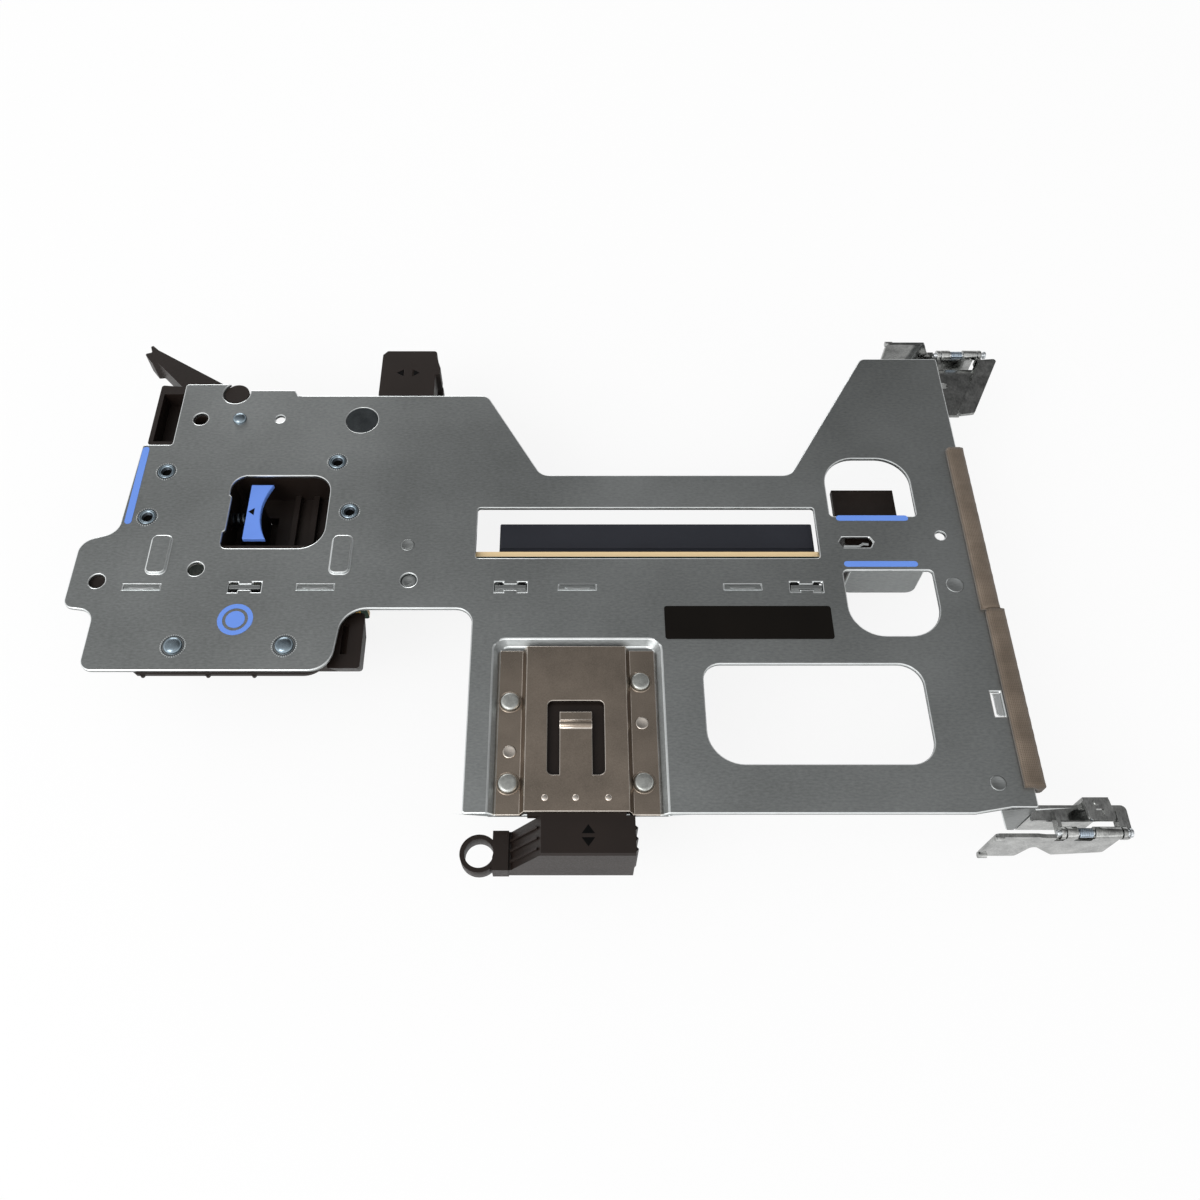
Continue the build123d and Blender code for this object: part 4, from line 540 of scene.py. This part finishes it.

# Small dimples as (x, y, radius): a raised ring round a flat floor, in the sheet and in the guide plate,
# where they are drawn pale as a painted highlight
dimples = {
    "sheetDimples": {"finish": zincSheet, "slot": "carrier_sheet", "face": sheetTop,
                     "spots": [(44.1, 1.6, 1.7), (193.5, -11.3, 2.2), (193.8, -68.1, 1.8)]},
    "plateDimples": {"finish": stainlessEdgeHighlight, "slot": "stainless", "face": recessTop,
                     "spots": [(74.0, -59.6, 1.5), (107.3, -51.8, 1.5)]},
}
dimpleShape = {"floor": 0.03, "ring": [(-0.45, 0.04), (-0.15, 0.16), (0.05, 0.16), (0.3, -0.02)],
               "under": -0.02, "steps": 40}
setHead = {
    "spot": (45.2, -9.8), "steps": 40,
    "profile": [(axisRadius, 36.2), (1.2, 36.25), (1.7, 36.45), (2.19, 36.2), (2.19, 35.85),
                (axisRadius, 35.85)],
}
for name, kind in dimples.items():
    shape = bmesh.new()
    for x, y, r in kind["spots"]:
        z = kind["face"]
        floor = (axisRadius, z + dimpleShape["floor"])
        ring = [(r + dr, z + dz) for dr, dz in dimpleShape["ring"]]
        under = (axisRadius, z + dimpleShape["under"])
        addTurned(shape, [floor, *ring, under], (x, y), steps=dimpleShape["steps"], closed=False)
    if name == "sheetDimples":
        # head set into the plain hole beside the long slit
        addTurned(shape, setHead["profile"], setHead["spot"], steps=setHead["steps"], closed=False)
    newPiece(name, shape, kind["finish"], "cage", smooth=True)

# Lips round the long slits, and the staked tab in each, drawn pale as painted highlights on the slits' edges
slits = {
    "middles": (-27.0, 20.1, 91.1, 135.9), "row": -12.0, "lip": 0.09, "low": 36.95, "high": 37.08,
    "reach": 5.0, "side": 0.85, "end": 4.95, "endReach": 0.8, "tabRise": 0.22,
    "tab": [(-3.4, -0.3), (-2.2, -0.62), (0.0, -0.72), (2.2, -0.62), (3.4, -0.3), (2.2, -0.3), (0.0, -0.4),
            (-2.2, -0.3)],
}
shape = bmesh.new()
for x in slits["middles"]:
    for side in (-1, 1):
        y = slits["row"] + side * slits["side"]
        addBlock(shape, (x - slits["reach"], y - slits["lip"], slits["low"]),
                 (x + slits["reach"], y + slits["lip"], slits["high"]))
        end = x + side * slits["end"]
        addBlock(shape, (end - slits["lip"], slits["row"] - slits["endReach"], slits["low"]),
                 (end + slits["lip"], slits["row"] + slits["endReach"], slits["high"]))
    addPlate(shape, [(x + dx, slits["row"] + dy) for dx, dy in slits["tab"]], slits["low"], slits["tabRise"])
newPiece("slitLips", shape, zincEdgeHighlight, "cage")

# Lanced tabs: one bent down in the corner slit, one curled up along the front of the keyhole, drawn pale as
# painted highlights
tabs = {
    "corner": [(197.8, -49.9), (199.1, -49.9), (199.1, -43.7), (197.2, -43.7), (197.8, -44.7)],
    "cornerLow": 36.1, "cornerGauge": 0.6,
    "cornerStep": ((197.25, -49.7, 36.6), (197.65, -44.0, 36.98)),
    "keyhole": [(165.1, 1.0), (169.4, 1.0), (170.6, 1.7), (172.0, 1.6), (172.0, 2.2), (170.4, 2.4),
                (169.2, 1.6), (165.1, 1.6)],
    "keyholeLow": 36.5, "keyholeGauge": 0.45, "rounding": 0.1, "sharp": 1.2,
}
shape = bmesh.new()
addPlate(shape, tabs["corner"], tabs["cornerLow"], tabs["cornerGauge"])
addBlock(shape, *tabs["cornerStep"])
addPlate(shape, tabs["keyhole"], tabs["keyholeLow"], tabs["keyholeGauge"])
sharp = [edge for edge in shape.edges if edge.calc_face_angle(0.0) > tabs["sharp"]]
bmesh.ops.bevel(shape, geom=sharp, offset=tabs["rounding"], segments=2, profile=0.5, affect="EDGES",
                material=-1)
newPiece("lancedTabs", shape, zincEdgeHighlight, "cage")

# Pips in a row on the raised channel of the guide plate, drawn pale as painted highlights
pips = {"x": (83.0, 90.5, 98.4), "y": -72.5, "radius": 0.85, "foot": 38.85, "rise": 0.4, "steps": 24}
shape = bmesh.new()
for x in pips["x"]:
    addDome(shape, (x, pips["y"]), pips["radius"], pips["foot"], pips["rise"], pips["steps"])
newPiece("channelPips", shape, stainlessEdgeHighlight, "cage", smooth=True)

# Painted shade: black plates round the leg of the release latch, under the slot in the floor of its housing,
# that keep the slot dark
slotShade = {"y": (8.2, 20.4), "left": (-7.9, -2.0), "right": (0.0, 5.6), "low": 20.2, "gauge": 0.5,
           "rounding": 0.3}
shape = bmesh.new()
y0, y1 = slotShade["y"]
for x0, x1 in (slotShade["left"], slotShade["right"]):
    addPlate(shape, [(x0, y0), (x1, y0), (x1, y1), (x0, y1)], slotShade["low"], slotShade["gauge"])
upright = [edge for edge in shape.edges if abs(edge.verts[0].co.z - edge.verts[1].co.z) > 0.1]
bmesh.ops.bevel(shape, geom=upright, offset=slotShade["rounding"], segments=2, profile=0.5, affect="EDGES",
                material=-1)
newPiece("latchSlotShade", shape, blackMoulded, "release_latch")

# Contacts of the docking edge, 1 mm apart, each side of the key and on both faces
contacts = {"blocks": ((-26.3, -15.5), (-11.5, 26.3)), "side": 0.865, "pitch": 1.0, "half": 0.35, "low": 0.9,
            "high": 6.5, "film": 0.03}
shape = bmesh.new()
for first, last in contacts["blocks"]:
    for i in range(int((last - first) / contacts["pitch"]) + 1):
        x = first + i * contacts["pitch"]
        for y in (-contacts["side"], contacts["side"]):
            addBlock(shape, (x - contacts["half"], y - contacts["film"] / 2, contacts["low"]),
                     (x + contacts["half"], y + contacts["film"] / 2, contacts["high"]))
newPiece("contactPads", shape, goldPlate, "cage")
print("stage: small metal details")

# Solder tails of the card slots: two rows of small blocks on each face of the board
tails = {"rows": [(24.5, -0.45), (32.0, 0.45)], "side": 1.25, "pitch": 1.0, "first": 71.6, "count": 84,
         "half": 0.21, "reach": 0.45, "heel": 0.6}
shape = bmesh.new()
for side in (-1, 1):
    y = side * tails["side"]
    for i in range(tails["count"]):
        x = tails["first"] + i * tails["pitch"]
        for z, toe in tails["rows"]:
            ends = (z - toe * tails["heel"], z + toe)
            addBlock(shape, (x - tails["half"], y - tails["reach"], min(ends)),
                     (x + tails["half"], y + tails["reach"], max(ends)))
newPiece("solderTails", shape, nickelTurned, "cage")
print("stage: solder tails")


def addWire(shape, foot, radius, wire, turns, travel, stepsPerTurn=20):
    # wire wound about the X axis through foot: a small circle spun with a steady travel. The circle lies in
    # the plane it is swept in, so the wire comes out as a band with no thickness towards the axis
    made = bmesh.ops.create_circle(shape, cap_ends=False, segments=8, radius=wire)
    start = Matrix.Translation(Vector(foot) + Vector((0, radius, 0)))
    bmesh.ops.transform(shape, matrix=start @ Matrix.Rotation(pi / 2, 4, "X"), verts=made["verts"])
    circle = list({edge for vert in made["verts"] for edge in vert.link_edges})
    steps = int(turns * stepsPerTurn)
    bmesh.ops.spin(shape, geom=made["verts"] + circle, cent=foot, axis=(1, 0, 0), angle=2 * pi * turns,
                   dvec=Vector((travel / steps, 0, 0)), steps=steps, use_duplicate=False)
    bmesh.ops.holes_fill(shape, edges=[edge for edge in shape.edges if edge.is_boundary], sides=8)


# Coil springs: the latch's return spring, which shortens with its slide, and the two hinge springs
coils = {
    # the return spring, inside the latch housing, is near black partly as painted shade
    "returnSpring": {"node": "return_spring", "finish": darkSteelAndShade, "foot": (-13.66, 14.3, 31.0),
                     "radius": 2.0, "wire": 0.32, "turns": 7.5, "travel": 11.0},
    "frontHingeSpring": {"node": "front_latch_spring", "finish": zincWire, "foot": (212.4, -79.3, 33.0),
                         "radius": 1.15, "wire": 0.26, "turns": 5.5, "travel": 3.0},
    "rearHingeSpring": {"node": "rear_latch_spring", "finish": zincWire, "foot": (209.2, 75.9, 33.0),
                        "radius": 1.15, "wire": 0.26, "turns": 5.5, "travel": 3.0},
}
for name, coil in coils.items():
    shape = bmesh.new()
    addWire(shape, coil["foot"], coil["radius"], coil["wire"], coil["turns"], coil["travel"])
    piece = newPiece(name, shape, coil["finish"], "cage", smooth=True)
    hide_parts(coil["node"])
    if name == "returnSpring":
        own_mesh(piece)
print("stage: springs")

# Gasket strips: cloth wrapped over foam and round the sheet's rear edge, with soft ripples
strips = {
    "frontGasketStrip": {"node": "front_gasket", "left": 199.9, "y": (-69.4, -19.6)},
    "rearGasketStrip": {"node": "rear_gasket", "left": 198.9, "y": (-19.2, 34.6)},
}
wrap = {
    "width": 5.2, "steps": 48,
    "fromLeft": [(0.05, 37.02), (0.05, 38.0), (0.5, 38.7), (1.4, 38.88)],
    "fromRight": [(-1.5, 38.86), (-0.4, 38.5), (-0.04, 37.6), (-0.02, 34.4), (-0.3, 33.75), (-0.8, 33.65)],
    "tuck": [(202.6, 33.8), (202.6, 36.9)],
    "longRipple": (0.05, 1.9), "crossRipple": (0.04, 4.3), "rippleAbove": 37.5, "plainEnd": 0.5, "sink": 0.1,
}
for name, strip in strips.items():
    shape = bmesh.new()
    left = strip["left"]
    right = left + wrap["width"]
    profile = [(left + x, z) for x, z in wrap["fromLeft"]] + [(right + x, z) for x, z in wrap["fromRight"]]
    profile += wrap["tuck"]
    y0, y1 = strip["y"]
    face = shape.faces.new([shape.verts.new((x, y0, z)) for x, z in profile])
    for i in range(wrap["steps"]):
        made = bmesh.ops.extrude_face_region(shape, geom=[face])
        moved = [item for item in made["geom"] if isinstance(item, bmesh.types.BMVert)]
        bmesh.ops.translate(shape, vec=(0, (y1 - y0) / wrap["steps"], 0), verts=moved)
        nextFace = [item for item in made["geom"] if isinstance(item, bmesh.types.BMFace)][0]
        if face.is_valid and i > 0:
            bmesh.ops.delete(shape, geom=[face], context="FACES_ONLY")
        face = nextFace
    # ripples as (height, turns): a long one along the strip and a shorter one that also runs across it
    longHeight, longTurn = wrap["longRipple"]
    crossHeight, crossTurn = wrap["crossRipple"]
    for vert in shape.verts:
        if vert.co.z > wrap["rippleAbove"] and y0 + wrap["plainEnd"] < vert.co.y < y1 - wrap["plainEnd"]:
            ripple = (longHeight * sin(vert.co.y * longTurn)
                      + crossHeight * sin(vert.co.y * crossTurn + vert.co.x))
            vert.co.z += ripple - wrap["sink"]
    piece = newPiece(name, shape, gasketCloth, "cage", smooth=True)
    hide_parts(strip["node"])
print("stage: gaskets")

# Floor of pale paper, which the camera sees almost white and the object sees as matt grey
ground = {"middle": 89.0, "low": -0.5, "reach": 3000.0, "grey": 0.85, "glow": 0.86}
shape = bmesh.new()
bmesh.ops.create_grid(shape, x_segments=1, y_segments=1, size=ground["reach"] * mm,
                      matrix=Matrix.Translation((ground["middle"] * mm, 0, ground["low"] * mm)))
data = bpy.data.meshes.new("floor")
shape.to_mesh(data)
shape.free()
floor = bpy.data.objects.new("floor", data)
bpy.context.scene.collection.objects.link(floor)
paper = bpy.data.materials.new("palePaper")
paper.use_nodes = True
tree = paper.node_tree
tree.nodes.clear()
matt = addNode(tree, "ShaderNodeBsdfDiffuse", {"Color": [ground["grey"]] * 3 + [1.0]})
glow = addNode(tree, "ShaderNodeEmission", {"Color": (1.0, 1.0, 1.0, 1.0), "Strength": 1.0})
rays = addNode(tree, "ShaderNodeLightPath")
either = addNode(tree, "ShaderNodeMath", {"operation": "MAXIMUM"},
                 {0: rays.outputs["Is Camera Ray"], 1: rays.outputs["Is Transmission Ray"]})
share = addNode(tree, "ShaderNodeMath", {"operation": "MULTIPLY", 1: ground["glow"]}, {0: either.outputs[0]})
both = addNode(tree, "ShaderNodeMixShader", None,
               {0: share.outputs[0], 1: matt.outputs[0], 2: glow.outputs[0]})
addNode(tree, "ShaderNodeOutputMaterial", None, {"Surface": both.outputs[0]})
floor.data.materials.append(paper)

# Studio light: its strength goes by the direction's X, Y and Z, bright at the horizon and ahead, dimmer to
# the right
studio = {
    "side": {"From Min": -0.5, "From Max": 0.6, "To Min": 0.52, "To Max": 0.18},
    "behind": {"From Min": 0.36, "From Max": 0.68, "To Min": 1.22, "To Max": 0.5},
    "ahead": {"From Min": -0.5, "From Max": 0.3, "To Min": 0.72, "To Max": 0.0},
    "rim": {"From Min": 0.1, "From Max": 0.5, "To Min": 0.85, "To Max": 0.0},
}
world = bpy.data.worlds.new("studio")
bpy.context.scene.world = world
world.use_nodes = True
tree = world.node_tree
tree.nodes.clear()
around = addNode(tree, "ShaderNodeTexCoord")
ways = addNode(tree, "ShaderNodeSeparateXYZ", None, {"Vector": around.outputs["Generated"]})
side = addNode(tree, "ShaderNodeMapRange", studio["side"], {"Value": ways.outputs["X"]})
behind = addNode(tree, "ShaderNodeMapRange", studio["behind"], {"Value": ways.outputs["Y"]})
ahead = addNode(tree, "ShaderNodeMapRange", studio["ahead"], {"Value": ways.outputs["Y"]})
rim = addNode(tree, "ShaderNodeMapRange", studio["rim"], {"Value": ways.outputs["Z"]})
light = addNode(tree, "ShaderNodeMath", {"operation": "MULTIPLY"}, {0: side.outputs[0], 1: behind.outputs[0]})
for part in (ahead, rim):
    light = addNode(tree, "ShaderNodeMath", {"operation": "ADD"}, {0: light.outputs[0], 1: part.outputs[0]})
sky = addNode(tree, "ShaderNodeBackground", {"Color": (1.0, 1.0, 1.0, 1.0)}, {"Strength": light.outputs[0]})
addNode(tree, "ShaderNodeOutputWorld", None, {"Surface": sky.outputs[0]})

lamps = {
    "keyLamp": {"place": (-0.5, -0.7, 0.9), "size": 0.7, "power": 7.0},
    "backLamp": {"place": (-0.3, 1.1, 0.25), "size": 0.6, "power": 3.0},
}
lampAim = Vector((0.09, 0, 0))
for name, lamp in lamps.items():
    glass = bpy.data.lights.new(name, "AREA")
    glass.size = lamp["size"]
    glass.energy = lamp["power"]
    item = bpy.data.objects.new(name, glass)
    item.location = lamp["place"]
    item.rotation_euler = (lampAim - Vector(lamp["place"])).to_track_quat("-Z", "Y").to_euler()
    bpy.context.scene.collection.objects.link(item)

# Camera as in the photograph, looking down at about 59 degrees
photo = {"lens": 32.4, "sensor": 36.0, "shift": 0.025, "place": (0.08913, -0.16394, 0.287), "tilt": 30.6}
view = bpy.data.cameras.new("photoCamera")
view.sensor_width = photo["sensor"]
view.lens = photo["lens"]
view.shift_x = photo["shift"]
camera = bpy.data.objects.new("photoCamera", view)
camera.location = photo["place"]
camera.rotation_euler = (radians(photo["tilt"]), 0, 0)
bpy.context.scene.collection.objects.link(camera)
bpy.context.scene.camera = camera
bpy.context.scene.view_settings.view_transform = "Standard"
